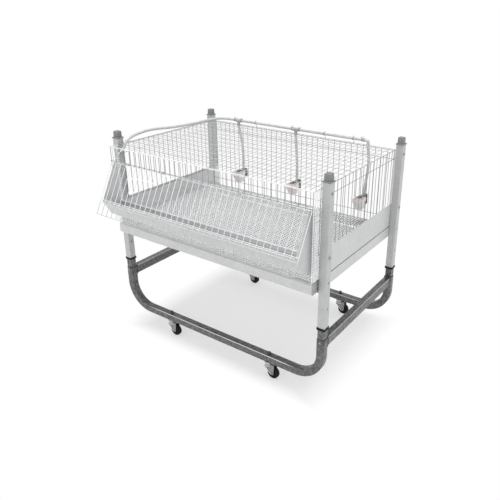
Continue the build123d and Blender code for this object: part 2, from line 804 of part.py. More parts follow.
# Clips: rings on stems along the rear wall, and one on the left panel that holds the hose's end
ring = hose_size + 2 * fit_gap + 2 * clip_wall
with BuildPart() as clips:
    for column in clip_columns:
        clip_x = column * roof_pitch - roof_pitch / 2
        with BuildSketch(Plane.YZ.offset(clip_x - clip_width / 2)):
            with Locations((hose_y, hose_height)):
                Circle(ring / 2)
            with Locations((rear_mesh_y - wire / 2, (roof_top + hose_height) / 2)):
                Rectangle(clip_stem, hose_height - roof_top)
            with Locations((hose_y, hose_height)):
                Circle(hose_size / 2 + fit_gap, mode=Mode.SUBTRACT)
        extrude(amount=clip_width)
    clip_middle = hose_end * 0.65 + hose_first_bend * 0.35
    stem_front = clip_middle.Y - clip_stem / 2
    clip_plane = Plane(origin=clip_middle, z_dir=hose_first_bend - hose_end)
    with BuildSketch(clip_plane):
        Circle(ring / 2)
    extrude(amount=clip_width / 2, both=True)
    with Locations((-(panel_x + hose_end_x) / 2, (stem_front + cheek_back) / 2, clip_middle.Z)):
        Box(panel_x - hose_end_x, cheek_back - stem_front, clip_stem)
    with BuildSketch(clip_plane):
        Circle(hose_size / 2 + fit_gap)
    extrude(amount=hose_size, both=True, mode=Mode.SUBTRACT)
keep(clips, "hose_clips")

# Drop hoses from the fittings to the drinkers' valves
valve_top = cup_top + valve_rise
for number, (place, drinker_x) in enumerate(zip(drop_places, drinker_places), start=1):
    fall = branch_end - valve_top
    bow = drinker_x - place
    drop_route = [
        ((place, hose_y, branch_end), 0),
        ((place, hose_y, branch_end - 0.2 * fall), 150),
        ((place + 0.8 * bow, (hose_y + valve_y) / 2, branch_end - 0.6 * fall), 300),
        ((drinker_x, valve_y, branch_end - 0.85 * fall), 150),
        ((drinker_x, valve_y, valve_top), 0),
    ]
    keep(hose(drop_route, drop_size), f"drop_hose_{number}")

# Drinker valves: a bracket on the rear wall, the valve barrel, the cup's hanger and the nose with its pins
cup_back = bracket_y - cup_stand
nose_front = valve_y - nose_reach
pin_y = nose_front + trigger_pin_inset
pin_height = valve_top - nose_height / 2
yoke_inner = nose_width / 2 + trigger_gap
for number, drinker_x in enumerate(drinker_places, start=1):
    with BuildPart() as valve:
        with Locations((drinker_x, bracket_y + bracket_plate / 2, valve_top - bracket_height / 2)):
            Box(bracket_width, bracket_plate, bracket_height)
        with BuildSketch(Plane((drinker_x, valve_y, cup_top - valve_drop))):
            Circle(valve_size / 2)
        extrude(amount=valve_rise + valve_drop)
        with Locations((drinker_x, (valve_y + bracket_y) / 2, cup_top + (valve_rise - valve_drop) / 2)):
            Box(valve_web, bracket_y - valve_y, valve_rise + valve_drop - 4)
        with Locations((drinker_x, (bracket_y + cup_back) / 2, cup_top - hanger_drop)):
            Box(hanger_width, cup_stand, hanger_height)
        with Locations((drinker_x, (valve_y + nose_front) / 2, pin_height)):
            Box(nose_width, nose_reach, nose_height)
        with BuildSketch(Plane.YZ.offset(drinker_x - yoke_inner - trigger_plate)):
            with Locations((pin_y, pin_height)):
                Circle(trigger_pin / 2)
        extrude(amount=2 * yoke_inner + 2 * trigger_plate)
    keep(valve, f"drinker_valve_{number}")

# Drinker cups: tapered bowls with a straight back that seats on the hanger
for number, drinker_x in enumerate(drinker_places, start=1):
    def cup_section(height, inset):
        share = (height - cup_top + cup_height) / cup_height
        width = cup_foot_width + (cup_width - cup_foot_width) * share - 2 * inset
        depth = cup_foot_depth + (cup_depth - cup_foot_depth) * share - 2 * inset
        return Plane((drinker_x, cup_back - inset - depth / 2, height)), width, depth

    with BuildPart() as cup:
        for height in (cup_top - cup_height, cup_top):
            plane, width, depth = cup_section(height, 0)
            with BuildSketch(plane):
                RectangleRounded(width, depth, cup_corner)
        loft()
        for height in (cup_top - cup_height + cup_wall, cup_top):
            plane, width, depth = cup_section(height, cup_wall)
            with BuildSketch(plane):
                RectangleRounded(width, depth, cup_corner - cup_wall)
        loft(mode=Mode.SUBTRACT)
    keep(cup, f"drinker_cup_{number}")

# Drinker triggers: a yoke on the nose's pins with a paddle over the cup that the birds push
for number, drinker_x in enumerate(drinker_places, start=1):
    yoke_back = pin_y + trigger_height / 2
    paddle_back = nose_front - trigger_gap
    paddle_front = pin_y - trigger_reach
    with BuildPart() as trigger:
        for yoke_x in (drinker_x - yoke_inner - trigger_plate, drinker_x + yoke_inner):
            with BuildSketch(Plane.YZ.offset(yoke_x)):
                with Locations(((yoke_back + paddle_front) / 2, pin_height)):
                    SlotOverall(yoke_back - paddle_front, trigger_height)
                with Locations((pin_y, pin_height)):
                    Circle(trigger_pin / 2 + trigger_pin_clearance, mode=Mode.SUBTRACT)
            extrude(amount=trigger_plate)
        with Locations((drinker_x, (paddle_back + paddle_front) / 2, pin_height)):
            Box(2 * yoke_inner, paddle_back - paddle_front - trigger_height, trigger_plate)
    keep(trigger, f"drinker_trigger_{number}")
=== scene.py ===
"""Wheeled rearing cage for young poultry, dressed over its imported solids.

Lengths are metres, +Z is up, and the gate looks towards -Y.
"""
import json
from math import cos, pi, radians, sin

import bpy
from mathutils import Matrix, Vector


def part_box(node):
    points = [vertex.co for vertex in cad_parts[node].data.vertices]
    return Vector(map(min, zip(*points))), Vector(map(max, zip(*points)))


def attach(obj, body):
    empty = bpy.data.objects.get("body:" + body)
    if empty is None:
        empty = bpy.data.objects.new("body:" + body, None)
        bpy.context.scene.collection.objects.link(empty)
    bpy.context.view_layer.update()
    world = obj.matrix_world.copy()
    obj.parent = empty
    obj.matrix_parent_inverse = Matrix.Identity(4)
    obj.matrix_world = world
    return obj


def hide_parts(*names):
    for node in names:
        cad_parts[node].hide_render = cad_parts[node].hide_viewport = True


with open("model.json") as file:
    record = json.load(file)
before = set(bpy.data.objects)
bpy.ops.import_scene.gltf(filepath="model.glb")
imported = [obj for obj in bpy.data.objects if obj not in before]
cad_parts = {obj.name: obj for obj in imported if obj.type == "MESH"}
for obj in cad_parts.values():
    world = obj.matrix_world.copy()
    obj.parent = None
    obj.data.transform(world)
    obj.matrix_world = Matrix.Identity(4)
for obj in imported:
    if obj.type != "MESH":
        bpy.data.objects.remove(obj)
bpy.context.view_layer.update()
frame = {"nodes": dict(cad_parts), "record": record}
nodes = frame["nodes"]
scene = bpy.context.scene
corners = ("front_left", "front_right", "rear_left", "rear_right")
along_x, along_y, upward = (1, 0, 0), (0, 1, 0), (0, 0, 1)
leg_top = 0.268
tie_low, tie_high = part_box("side_tie_left")


# Bench work: picking, placing, repeating and finishing a piece


def take(piece):
    """Make a piece the only one selected, and the active one."""
    bpy.ops.object.select_all(action="DESELECT")
    piece.select_set(True)
    bpy.context.view_layer.objects.active = piece


def settle():
    """Put the active piece's place, turn and size into its mesh."""
    piece = bpy.context.object
    take(piece)
    bpy.ops.object.transform_apply(location=True, rotation=True, scale=True)
    return piece


def open_all(piece):
    """Open a piece in edit mode with all of it selected."""
    take(piece)
    bpy.ops.object.mode_set(mode="EDIT")
    bpy.ops.mesh.select_all(action="SELECT")


def shut():
    """Leave edit mode."""
    bpy.ops.object.mode_set(mode="OBJECT")


def clear_picks(piece, kind):
    """Leave nothing of a piece selected, ready to pick its faces or edges."""
    take(piece)
    bpy.ops.object.mode_set(mode="EDIT")
    bpy.ops.mesh.select_mode(type=kind)
    bpy.ops.mesh.select_all(action="DESELECT")
    shut()


def open_faces(piece, wanted):
    """Open a piece in edit mode with the faces selected whose middle and normal pass the test."""
    clear_picks(piece, "FACE")
    for face in piece.data.polygons:
        face.select = wanted(face.center, face.normal)
    bpy.ops.object.mode_set(mode="EDIT")


def open_edges(piece, wanted):
    """Open a piece in edit mode with the edges selected whose two ends pass the test."""
    clear_picks(piece, "EDGE")
    points = piece.data.vertices
    for edge in piece.data.edges:
        edge.select = wanted(*(points[index].co for index in edge.vertices))
    bpy.ops.object.mode_set(mode="EDIT")


def round_off(piece, wanted, offset, segments):
    """Round the edges whose two ends pass the test."""
    open_edges(piece, wanted)
    bpy.ops.mesh.bevel(offset=offset, segments=segments)
    shut()


def step_faces(piece, wanted, *steps):
    """Inset the faces that pass the test, once for each width and depth."""
    open_faces(piece, wanted)
    for width, depth in steps:
        bpy.ops.mesh.inset(thickness=width, depth=depth)
    shut()


def turned(direction):
    """Turn that lays a primitive's own Z along a direction."""
    return Vector(direction).to_track_quat("Z", "Y").to_euler()


def round_bar(middle, direction, radius, length, sides=24):
    """Plain round bar to start a piece from."""
    bpy.ops.object.select_all(action="DESELECT")
    bpy.ops.mesh.primitive_cylinder_add(
        vertices=sides, radius=radius, depth=length, location=middle, rotation=turned(direction))
    return settle()


def block(low, high):
    """Plain block between two corners to start a piece from."""
    low, high = Vector(low), Vector(high)
    bpy.ops.object.select_all(action="DESELECT")
    bpy.ops.mesh.primitive_cube_add(size=1, location=(low + high) / 2)
    bpy.context.object.scale = high - low
    return settle()


def ring(middle, direction, radius, thickness, around=20, section=6):
    """Plain ring of round wire to start a piece from."""
    bpy.ops.object.select_all(action="DESELECT")
    bpy.ops.mesh.primitive_torus_add(
        location=middle, rotation=turned(direction), major_radius=radius, minor_radius=thickness / 2,
        major_segments=around, minor_segments=section)
    return settle()


def ease_edges(piece, offset, steps=2, angle=30):
    """Round all sharp edges of a piece."""
    take(piece)
    rounding = piece.modifiers.new("rounding", "BEVEL")
    rounding.width = offset
    rounding.segments = steps
    rounding.limit_method = "ANGLE"
    rounding.angle_limit = radians(angle)
    bpy.ops.object.modifier_apply(modifier="rounding")
    return piece


def repeat(piece, count, step):
    """Row of a piece at even steps, as one mesh."""
    take(piece)
    row = piece.modifiers.new("row", "ARRAY")
    row.count = count
    row.use_relative_offset = False
    row.use_constant_offset = True
    row.constant_offset_displace = step
    bpy.ops.object.modifier_apply(modifier="row")
    return piece


def double(piece, shift):
    """Copy of a piece with a mesh of its own, moved by a shift."""
    take(piece)
    bpy.ops.object.duplicate(linked=False)
    bpy.context.object.location = shift
    return settle()


def copies(piece, places):
    """A piece at the first place, and a copy of it with a mesh of its own at each other place."""
    return [piece] + [double(piece, place - places[0]) for place in places[1:]]


def join(pieces):
    """One piece made of several."""
    take(pieces[0])
    for piece in pieces[1:]:
        piece.select_set(True)
    bpy.ops.object.join()
    return bpy.context.object


def wrap(pieces):
    """One bulging piece drawn tight round several."""
    whole = join(pieces)
    open_all(whole)
    bpy.ops.mesh.convex_hull()
    shut()
    return whole


def hex_head(middle, direction, across, height):
    """Six-sided head or nut with its corners eased."""
    return ease_edges(round_bar(middle, direction, across / 2, height, sides=6), height * 0.18)


def fit_out(piece, name, finish, *stands_for, body="frame", angle=35):
    """Name, shade, paint and hang a finished piece, and hide the solids it stands for."""
    take(piece)
    bpy.ops.object.shade_smooth_by_angle(angle=radians(angle))
    piece.name = piece.data.name = name
    piece.data.materials.clear()
    piece.data.materials.append(finishes[finish])
    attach(piece, body)
    if stands_for:
        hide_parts(*stands_for)


# Shader work: nodes, sockets and the effects that the finishes share


def add(tree, kind, **settings):
    """New shader node with its settings."""
    made = tree.nodes.new("ShaderNode" + kind)
    for key, value in settings.items():
        setattr(made, key, value)
    return made


def feed(tree, value, socket):
    """Give a socket a number, a colour or another socket's value."""
    if isinstance(value, (int, float)):
        socket.default_value = value
    elif isinstance(value, tuple):
        socket.default_value = (*value, 1)
    else:
        tree.links.new(value, socket)


def feed_named(tree, made, **values):
    """Feed a node's sockets by their names, written small and with underscores."""
    for label, value in values.items():
        feed(tree, value, made.inputs[label.replace("_", " ").title()])
    return made.outputs


def arithmetic(tree, operation, *values):
    """Result of one arithmetic node on sockets or numbers."""
    made = add(tree, "Math", operation=operation)
    for value, socket in zip(values, made.inputs):
        feed(tree, value, socket)
    return made.outputs[0]


def product(tree, first, *others):
    """Masks and numbers multiplied together."""
    for other in others:
        first = arithmetic(tree, "MULTIPLY", first, other)
    return first


def spread(tree, value, low, high, start=0.0, end=1.0):
    """Value stretched from one range to another, and held at both ends."""
    return feed_named(
        tree, add(tree, "MapRange"), value=value, from_min=low, from_max=high, to_min=start, to_max=end)[0]


def blend_colours(tree, mask, first, second):
    """Colour between two colours or sockets by a mask."""
    made = add(tree, "Mix", data_type="RGBA")
    for value, index in ((mask, 0), (first, 6), (second, 7)):
        feed(tree, value, made.inputs[index])
    return made.outputs[2]


def axes_of(tree, kind, output):
    """X, Y and Z of what a node puts out."""
    axes = add(tree, "SeparateXYZ")
    tree.links.new(add(tree, kind).outputs[output], axes.inputs[0])
    return axes.outputs


def place_on(tree):
    """Place on the object as X, Y and Z."""
    return axes_of(tree, "TexCoord", "Object")


def facing(tree):
    """Direction in which a face looks, as X, Y and Z."""
    return axes_of(tree, "NewGeometry", "Normal")


def noise(tree, scale, detail, roughness=0.5):
    """Cloudy noise over the object."""
    place = add(tree, "TexCoord").outputs["Object"]
    return feed_named(
        tree, add(tree, "TexNoise"), vector=place, scale=scale, detail=detail, roughness=roughness)[0]


def effect(name, inputs, outputs=("Mask",)):
    """Make the function that follows into a shader group with number sockets, wired up by that function."""
    tree = bpy.data.node_groups.new(name, "ShaderNodeTree")
    for label, start in inputs.items():
        socket = tree.interface.new_socket(label, in_out="INPUT", socket_type="NodeSocketFloat")
        socket.default_value = start
    for label in outputs:
        tree.interface.new_socket(label, in_out="OUTPUT", socket_type="NodeSocketFloat")

    def build(wire_up):
        wire_up(tree, tree.nodes.new("NodeGroupInput").outputs, tree.nodes.new("NodeGroupOutput").inputs)
        return tree

    return build


@effect("zinc_bloom", {"Crystal Scale": 120, "Cloud Scale": 9}, ("Crystal", "Cloud", "Grain"))
def zinc_bloom(tree, given, result):
    """Crystals, cloudy patches and fine grain of a galvanised face."""
    place = add(tree, "TexCoord").outputs["Object"]
    crystals = feed_named(tree, add(tree, "TexVoronoi"), vector=place, scale=given["Crystal Scale"])
    shades = add(tree, "SeparateColor")
    tree.links.new(crystals["Color"], shades.inputs[0])
    tree.links.new(shades.outputs[0], result["Crystal"])
    clouds = noise(tree, given["Cloud Scale"], 6, 0.62)
    tree.links.new(spread(tree, clouds, 0.3, 0.7), result["Cloud"])
    tree.links.new(noise(tree, 900, 3), result["Grain"])


@effect("settled_dust", {"Amount": 0.3, "Front": -9})
def settled_dust(tree, given, result):
    """Dust in patches on faces that look up, from a front limit on."""
    lying = spread(tree, facing(tree)["Z"], 0.2, 0.95)
    patchy = spread(tree, noise(tree, 38, 5), 0.35, 0.75)
    behind = arithmetic(tree, "GREATER_THAN", place_on(tree)["Y"], given["Front"])
    tree.links.new(product(tree, lying, patchy, behind, given["Amount"]), result["Mask"])


@effect("moulded_grain", {"Grain Scale": 1400}, ("Shade", "Grain"))
def moulded_grain(tree, given, result):
    """Fine texture and slow colour change of moulded plastic and rubber."""
    tree.links.new(spread(tree, noise(tree, 60, 5), 0.3, 0.7), result["Shade"])
    tree.links.new(noise(tree, given["Grain Scale"], 2), result["Grain"])


@effect("inward_painted_light", {"Reach": 0.4})
def inward_painted_light(tree, given, result):
    """Faces of sheet that look in towards the cage's middle, where a painted tone stands in for the light
    they lack.
    """
    inward = product(tree, facing(tree)["X"], place_on(tree)["X"], -1)
    mask = arithmetic(tree, "DIVIDE", inward, given["Reach"])
    mask.node.use_clamp = True
    tree.links.new(mask, result["Mask"])


@effect("painted_back_shade", {"Back": -0.30, "Right": 0.35})
def painted_back_shade(tree, given, result):
    """Faces behind a limit that look to the front, with painted shade, less towards the right end."""
    place = place_on(tree)
    behind = arithmetic(tree, "GREATER_THAN", place["Y"], given["Back"])
    to_front = spread(tree, facing(tree)["Y"], -0.3, -0.8)
    fading = spread(tree, place["X"], -0.3, 0.4, 1, given["Right"])
    tree.links.new(product(tree, behind, to_front, fading), result["Mask"])


@effect("lower_end_tone", {"Level": 0.634})
def lower_end_tone(tree, given, result):
    """Lower ends of the gate's wires, which reach down before the trough, and take a darker tone there in
    place of the painted light on the rest.
    """
    below = arithmetic(tree, "SUBTRACT", given["Level"], place_on(tree)["Z"])
    tree.links.new(spread(tree, below, 0, 0.012), result["Mask"])


@effect("painted_edge_highlight", {"Reach": 0.37, "Top": leg_top})
def painted_edge_highlight(tree, given, result):
    """Painted highlight along the upper edges of the base tubes and of the ties' right faces, between their
    ends.
    """
    place, looks = place_on(tree), facing(tree)
    sideways = product(tree, looks["Y"], looks["Y"])
    past_top = spread(tree, sideways, 0.12, 0.4)
    before_side = spread(tree, sideways, 0.6, 0.9, 1, 0)
    upper = spread(tree, looks["Z"], 0.2, 0.5)
    to_bend = arithmetic(tree, "SUBTRACT", given["Reach"], arithmetic(tree, "ABSOLUTE", place["X"]))
    on_tube = product(tree, past_top, before_side, upper, spread(tree, to_bend, -0.03, 0.03))
    below = arithmetic(tree, "SUBTRACT", given["Top"], place["Z"])
    rim = spread(tree, below, 0.0022, 0.0040, 0.6, 0)
    to_right = spread(tree, looks["X"], 0.5, 0.9)
    from_front = spread(tree, place["Y"], tie_low.y + 0.006, tie_low.y + 0.010)
    from_rear = spread(tree, place["Y"], tie_high.y - 0.010, tie_high.y - 0.006, 1, 0)
    on_tie = product(tree, rim, to_right, from_front, from_rear)
    tree.links.new(arithmetic(tree, "MAXIMUM", on_tube, on_tie), result["Mask"])


# Finishes, each with the record's slot that it stands in for

finishes, slots = {}, {}


def tint(tone):
    """A number as a neutral zinc grey, a touch cool. A colour stays as it is."""
    return tone if isinstance(tone, tuple) else (tone, tone * 1.006, tone * 1.012)


def new_finish(name):
    """Empty material with its tree and its shader."""
    made = bpy.data.materials.new(name)
    made.use_nodes = True
    return made, made.node_tree, made.node_tree.nodes["Principled BSDF"]


def use_effect(tree, group, **values):
    """Place an effect in a finish with its own values."""
    return feed_named(tree, add(tree, "Group", node_tree=group), **values)


def mark(tree, colour, tone, group, **values):
    """Colour with a tone laid over it where an effect's mask says so."""
    return blend_colours(tree, use_effect(tree, group, **values)["Mask"], colour, tone)


def roughen(tree, shader, height, strength, distance):
    """Give a shader its relief."""
    relief = feed_named(tree, add(tree, "Bump"), strength=strength, distance=distance, height=height)
    tree.links.new(relief[0], shader.inputs["Normal"])


def zinc_finish(name, tones, spangle, rough, metallic, slot=None, relief=0.15,
                inside=None, dust=None, shaded_back=None, ends=None, edges=None):
    """Galvanised or plated steel: crystals and clouds between two tones, settled dust, and the painted light,
    shade and highlights asked for.
    """
    made, tree, shader = new_finish(name)
    crystal, cloud, share = spangle
    bloom = use_effect(tree, zinc_bloom, crystal_scale=crystal, cloud_scale=cloud)
    crystals = product(tree, bloom["Crystal"], share)
    clouds = product(tree, bloom["Cloud"], 1 - share)
    mask = arithmetic(tree, "ADD", crystals, clouds)
    colour = blend_colours(tree, mask, *map(tint, tones))
    # Painted light: faces that look into the cage get a tone of their own, set for the light they lack there.
    if inside:
        inward_lit = blend_colours(tree, mask, tint(inside * 0.8), tint(inside))
        colour = mark(tree, colour, inward_lit, inward_painted_light)
    if dust:
        amount, tone, front = dust
        colour = mark(tree, colour, tint(tone), settled_dust, amount=amount, front=front)
    # Painted shade on back walls that look to the front, less towards the right.
    if shaded_back:
        tone, back, right = shaded_back
        colour = mark(tree, colour, tint(tone), painted_back_shade, back=back, right=right)
    # The gate's wires are lightened with painted light; their lower ends keep a darker tone.
    if ends:
        colour = mark(tree, colour, tint(ends), lower_end_tone)
    # Painted highlight along the base tubes' upper edges and the ties' rims.
    if edges:
        colour = mark(tree, colour, tint(edges), painted_edge_highlight)
    sheen = spread(tree, mask, 0.1, 0.9, rough[1], rough[0])
    feed_named(tree, shader, base_color=colour, roughness=sheen, metallic=metallic)
    roughen(tree, shader, arithmetic(tree, "ADD", bloom["Grain"], mask), relief, 0.0004)
    finishes[name], slots[name] = made, slot or name


def moulded_finish(name, tones, rough, slot=None, relief=0.1, dust=0.0, gloss=0.0, shine=0.5):
    """Moulded plastic or rubber with a fine grain and a slow change of shade."""
    made, tree, shader = new_finish(name)
    texture = use_effect(tree, moulded_grain)
    colour = blend_colours(tree, texture["Shade"], *map(tint, tones))
    if dust:
        colour = mark(tree, colour, (0.5, 0.48, 0.45), settled_dust, amount=dust)
    sheen = spread(tree, texture["Shade"], 0, 1, *rough)
    feed_named(tree, shader, base_color=colour, roughness=sheen, coat_weight=gloss)
    shader.inputs["Specular IOR Level"].default_value = shine
    roughen(tree, shader, texture["Grain"], relief, 0.0003)
    finishes[name], slots[name] = made, slot or name


# Spangles: crystals and clouds to the metre, and the crystals' share
post_spangle = (160, 14, 0.45)
sheet_spangle = (110, 10, 0.5)
base_spangle = (150, 60, 0.5)
wire_spangle = (400, 30, 0.4)
bolt_spangle = (260, 40, 0.3)
clamp_spangle = (300, 60, 0.3)
# Places in depth: limits before the trough's back wall and before the tray's, behind which their painted
# shade lies, and where the tray's dust begins
trough_limit, tray_limit, dust_limit = -0.30, 0.20, -0.16

zinc_finish("post_zinc", (0.45, 0.54), post_spangle, (0.40, 0.55), 0.3)
# Inward faces of the sheets carry painted light (inside), set for the light they lack inside the cage.
zinc_finish("sheet_zinc", (0.555, 0.625), sheet_spangle, (0.36, 0.5), 0.3, inside=0.76)
# The trough: painted light on its inward end plates, and painted shade on its back wall.
zinc_finish("trough_zinc", (0.52, 0.62), sheet_spangle, (0.36, 0.5), 0.3, "sheet_zinc", inside=0.70,
            shaded_back=(0.54, trough_limit, 0.25))
# The hem: a lighter copy of the sheet, painted light for the shade it stands in, with painted shade over its
# front face towards the left.
zinc_finish("hem_zinc_painted_light", (0.74, 0.84), sheet_spangle, (0.36, 0.5), 0.3, "sheet_zinc",
            shaded_back=(0.55, trough_limit, 0.0))
# The tray: painted light on its inward sides, settled dust, and painted shade on its rear wall.
zinc_finish("tray_zinc", (0.54, 0.65), sheet_spangle, (0.3, 0.42), 0.4, inside=0.58,
            dust=(1.6, 0.34, dust_limit), shaded_back=(0.22, tray_limit, 1.0))
# Darker copy of the tray's zinc: painted shade on the plates in the ends of the tray's fold, and the frame
# bolts' own duller tone.
zinc_finish("fold_shade_and_bolt_zinc", (0.36, 0.43), sheet_spangle, (0.36, 0.5), 0.3, "tray_zinc")
# Base: painted highlight along the tubes' upper edges and the ties' rims.
zinc_finish("base_zinc", (0.045, 0.225), base_spangle, (0.26, 0.42), 0.5, relief=0.3, edges=0.80)
# One wire zinc in four copies, each tone set for the light it gets: painted shade on the walls, painted light
# on the roof, the gate and the floor; the brightest also carries painted highlights on edges and beads.
zinc_finish("wall_wire_shaded", (0.28, 0.44), wire_spangle, (0.34, 0.5), 0.4, "wire_zinc")
zinc_finish("roof_wire_half_lit", (0.44, 0.62), wire_spangle, (0.34, 0.5), 0.4, "wire_zinc")
zinc_finish("gate_wire_lit", (0.76, 0.86), wire_spangle, (0.3, 0.45), 0.2, "wire_zinc", ends=0.54)
zinc_finish("brightest_lit_wire", (0.86, 0.95), wire_spangle, (0.34, 0.5), 0.2, "wire_zinc")
zinc_finish("bright_zinc", (0.19, 0.34), bolt_spangle, (0.2, 0.34), 0.6)
# Lighter copy of the bright zinc: painted highlights on the races, the fork heads' rings and the cheeks'
# rims.
zinc_finish("race_zinc_painted_highlight", (0.66, 0.84), bolt_spangle, (0.2, 0.35), 0.3, "bright_zinc")
# Darker copy of the bright zinc: the caster bolts' own dark tone, and painted shade on the forks' waists.
zinc_finish("stem_zinc_and_waist_shade", (0.05, 0.12), bolt_spangle, (0.3, 0.45), 0.7, "bright_zinc")
zinc_finish("clamp_zinc", (0.10, 0.20), clamp_spangle, (0.3, 0.45), 0.6, "bright_zinc")
moulded_finish("cap_plastic", (0.185, 0.24), (0.5, 0.65), dust=0.1)
moulded_finish("collar_plastic", (0.004, 0.010), (0.5, 0.7), shine=0.2)
moulded_finish("wheel_rubber", (0.004, 0.010), (0.4, 0.6), dust=0.02, shine=0.15)
moulded_finish("hose_rubber", (0.47, 0.60), (0.3, 0.42), relief=0.05, gloss=0.15)
moulded_finish("fitting_plastic", (0.36, 0.46), (0.4, 0.55))
moulded_finish("valve_plastic", (0.16, 0.26), (0.35, 0.5))
moulded_finish("trigger_plastic", (0.05, 0.10), (0.35, 0.5), "valve_plastic")
moulded_finish("cup_plastic", ((0.82, 0.755, 0.73), (0.90, 0.84, 0.82)), (0.3, 0.42), gloss=0.2)

# The solids take the finish of their slot. The wires' slot has several finishes, lit and shaded copies of one
# wire zinc, so theirs is chosen here.
for part in frame["record"]["subparts"]:
    solid = nodes[part["node"]].data.materials
    solid.clear()
    solid.append(finishes.get(part["material_slot"], finishes["wall_wire_shaded"]))
nodes["feed_trough"].data.materials[0] = finishes["trough_zinc"]
nodes["frame_bolts"].data.materials[0] = finishes["fold_shade_and_bolt_zinc"]


# Wire panels: the wires' sizes, and how far apart two crossing wires lie, pressed into each other

wire = 0.0025
thin_wire = 0.0021
thick_wire = 0.0028
weld = 0.0017
hinge_rod = 0.005

# Counts of wires. The roof's rows leave out its front edge.
wall_count = 36
side_count = 23
ladder_count, ladder_rungs = 5, 26
roof_columns, roof_rows = 43, 12
floor_columns, floor_rows = 79, 49
gate_count = 35
# Heights of the cross wires and the side walls' foot, and the ladders' top rung and depth
lower_line, upper_line = 0.550, 0.801
side_foot = 0.600
ladder_top = 0.78225
ladder_depth = 0.044


def straight_wire(start, end, size=wire):
    """One cut wire with its end rims broken."""
    start, end = Vector(start), Vector(end)
    along = (end - start).normalized()
    rod = round_bar((start + end) / 2, along, size / 2, (end - start).length, sides=8)
    open_faces(rod, lambda middle, normal: abs(normal.dot(along)) > 0.9)
    bpy.ops.mesh.bevel(offset=size * 0.22, segments=1)
    shut()
    return rod


def wire_row(start, end, count, span, size=wire):
    """Row of equal wires, the last one a span away from the first."""
    return repeat(straight_wire(start, end, size), count, Vector(span) / (count - 1))


def rear_wall_wires():
    """Wide mesh of the rear wall, its cross wires on the inside."""
    low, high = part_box("rear_mesh")
    middle = high.y - wire / 2
    inner = middle - weld
    first = low.x + wire / 2
    span = (high.x - low.x - wire, 0, 0)
    parts = [wire_row((first, middle, low.z), (first, middle, high.z), wall_count, span)]
    for height in (low.z + wire / 2, lower_line, upper_line, high.z - wire / 2):
        parts.append(straight_wire((low.x, inner, height), (high.x, inner, height)))
    fit_out(join(parts), "rear_wall_wires", "wall_wire_shaded", "rear_mesh")


def side_wall_wires(side, sign):
    """Wide mesh of a side wall, and the fine ladder at its front end."""
    node = f"side_mesh_{side}"
    low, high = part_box(node)
    middle = (low.x + high.x) / 2
    inner = middle - sign * weld
    top = high.z - wire / 2
    ladder_back = low.y + ladder_depth
    wall_front = ladder_back - wire
    first = wall_front + wire / 2
    span = (0, high.y - wall_front - wire, 0)
    parts = [wire_row((middle, first, side_foot), (middle, first, high.z), side_count, span)]
    for height in (side_foot + wire / 2, upper_line, top):
        parts.append(straight_wire((inner, wall_front, height), (inner, high.y, height)))
    fit_out(join(parts), f"side_wall_wires_{side}", "wall_wire_shaded", node)
    first = low.y + wire / 2
    span = (0, ladder_depth - wire, 0)
    parts = [wire_row((middle, first, low.z), (middle, first, high.z), ladder_count, span)]
    foot = low.z + wire / 2
    span = (0, 0, ladder_top - low.z - wire)
    parts.append(wire_row((inner, low.y, foot), (inner, ladder_back, foot), ladder_rungs, span))
    parts.append(straight_wire((inner, low.y, top), (inner, ladder_back, top)))
    # The fine ladder takes the brightest wire tone, painted light.
    fit_out(join(parts), f"side_ladder_{side}", "brightest_lit_wire", node)


def roof_wires():
    """Roof mesh of thin wire, and the wire along its front edge, paler with painted light."""
    low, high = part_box("roof_mesh")
    middle = (low.z + high.z) / 2
    top = middle + weld
    first = low.x + wire / 2
    span = (high.x - low.x - wire, 0, 0)
    parts = [wire_row((first, low.y, middle), (first, high.y, middle), roof_columns, span, thin_wire)]
    front = low.y + thin_wire / 2
    edge = straight_wire((low.x, front, top), (high.x, front, top), thin_wire)
    next_row = (0, (high.y - low.y - thin_wire) / roof_rows, 0)
    parts.append(repeat(double(edge, next_row), roof_rows, next_row))
    fit_out(join(parts), "roof_wires", "roof_wire_half_lit", "roof_mesh")
    fit_out(edge, "roof_edge_wire", "brightest_lit_wire", "roof_mesh")


def floor_wires():
    """Fine floor mesh of thick wire."""
    low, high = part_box("floor_mesh")
    bottom = low.z + thick_wire / 2
    top = bottom + thick_wire * 0.7
    first, front = low.x + thick_wire / 2, low.y + thick_wire / 2
    across = (high.x - low.x - thick_wire, 0, 0)
    back = (0, high.y - low.y - thick_wire, 0)
    parts = [
        wire_row((first, low.y, top), (first, high.y, top), floor_columns, across, thick_wire),
        wire_row((low.x, front, bottom), (high.x, front, bottom), floor_rows, back, thick_wire),
    ]
    fit_out(join(parts), "floor_wires", "brightest_lit_wire", "floor_mesh")


strip_low, strip_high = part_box("front_strip")
strip_half = strip_high.x
hinge_y = (strip_low.y + strip_high.y) / 2
hinge_z = strip_low.z + hinge_rod / 2
strip_span = 2 * strip_half - wire
wall_pitch = strip_span / (wall_count - 1)


def front_strip_wires():
    """Short uprights above the gate, looped round the hinge rod, with a wire along their top, paler with
    painted light.
    """
    first = -strip_half + wire / 2
    top = strip_high.z
    parts = [wire_row((first, hinge_y, hinge_z), (first, hinge_y, top), wall_count, (strip_span, 0, 0))]
    loop = ring((first, hinge_y, hinge_z), along_x, hinge_rod / 2 + wire * 0.3, wire * 0.9, 10, 5)
    parts.append(repeat(loop, wall_count, (wall_pitch, 0, 0)))
    fit_out(join(parts), "front_strip_wires", "wall_wire_shaded", "front_strip")
    inner, line = hinge_y + weld, top - wire / 2
    edge = straight_wire((-strip_half, inner, line), (strip_half, inner, line))
    fit_out(edge, "strip_edge_wire", "brightest_lit_wire", "front_strip")
    rod = round_bar((0, hinge_y, hinge_z), along_x, hinge_rod / 2, 2 * strip_half, sides=12)
    fit_out(ease_edges(rod, 0.0008, 2, 60), "hinge_rod", "roof_wire_half_lit", "front_strip")


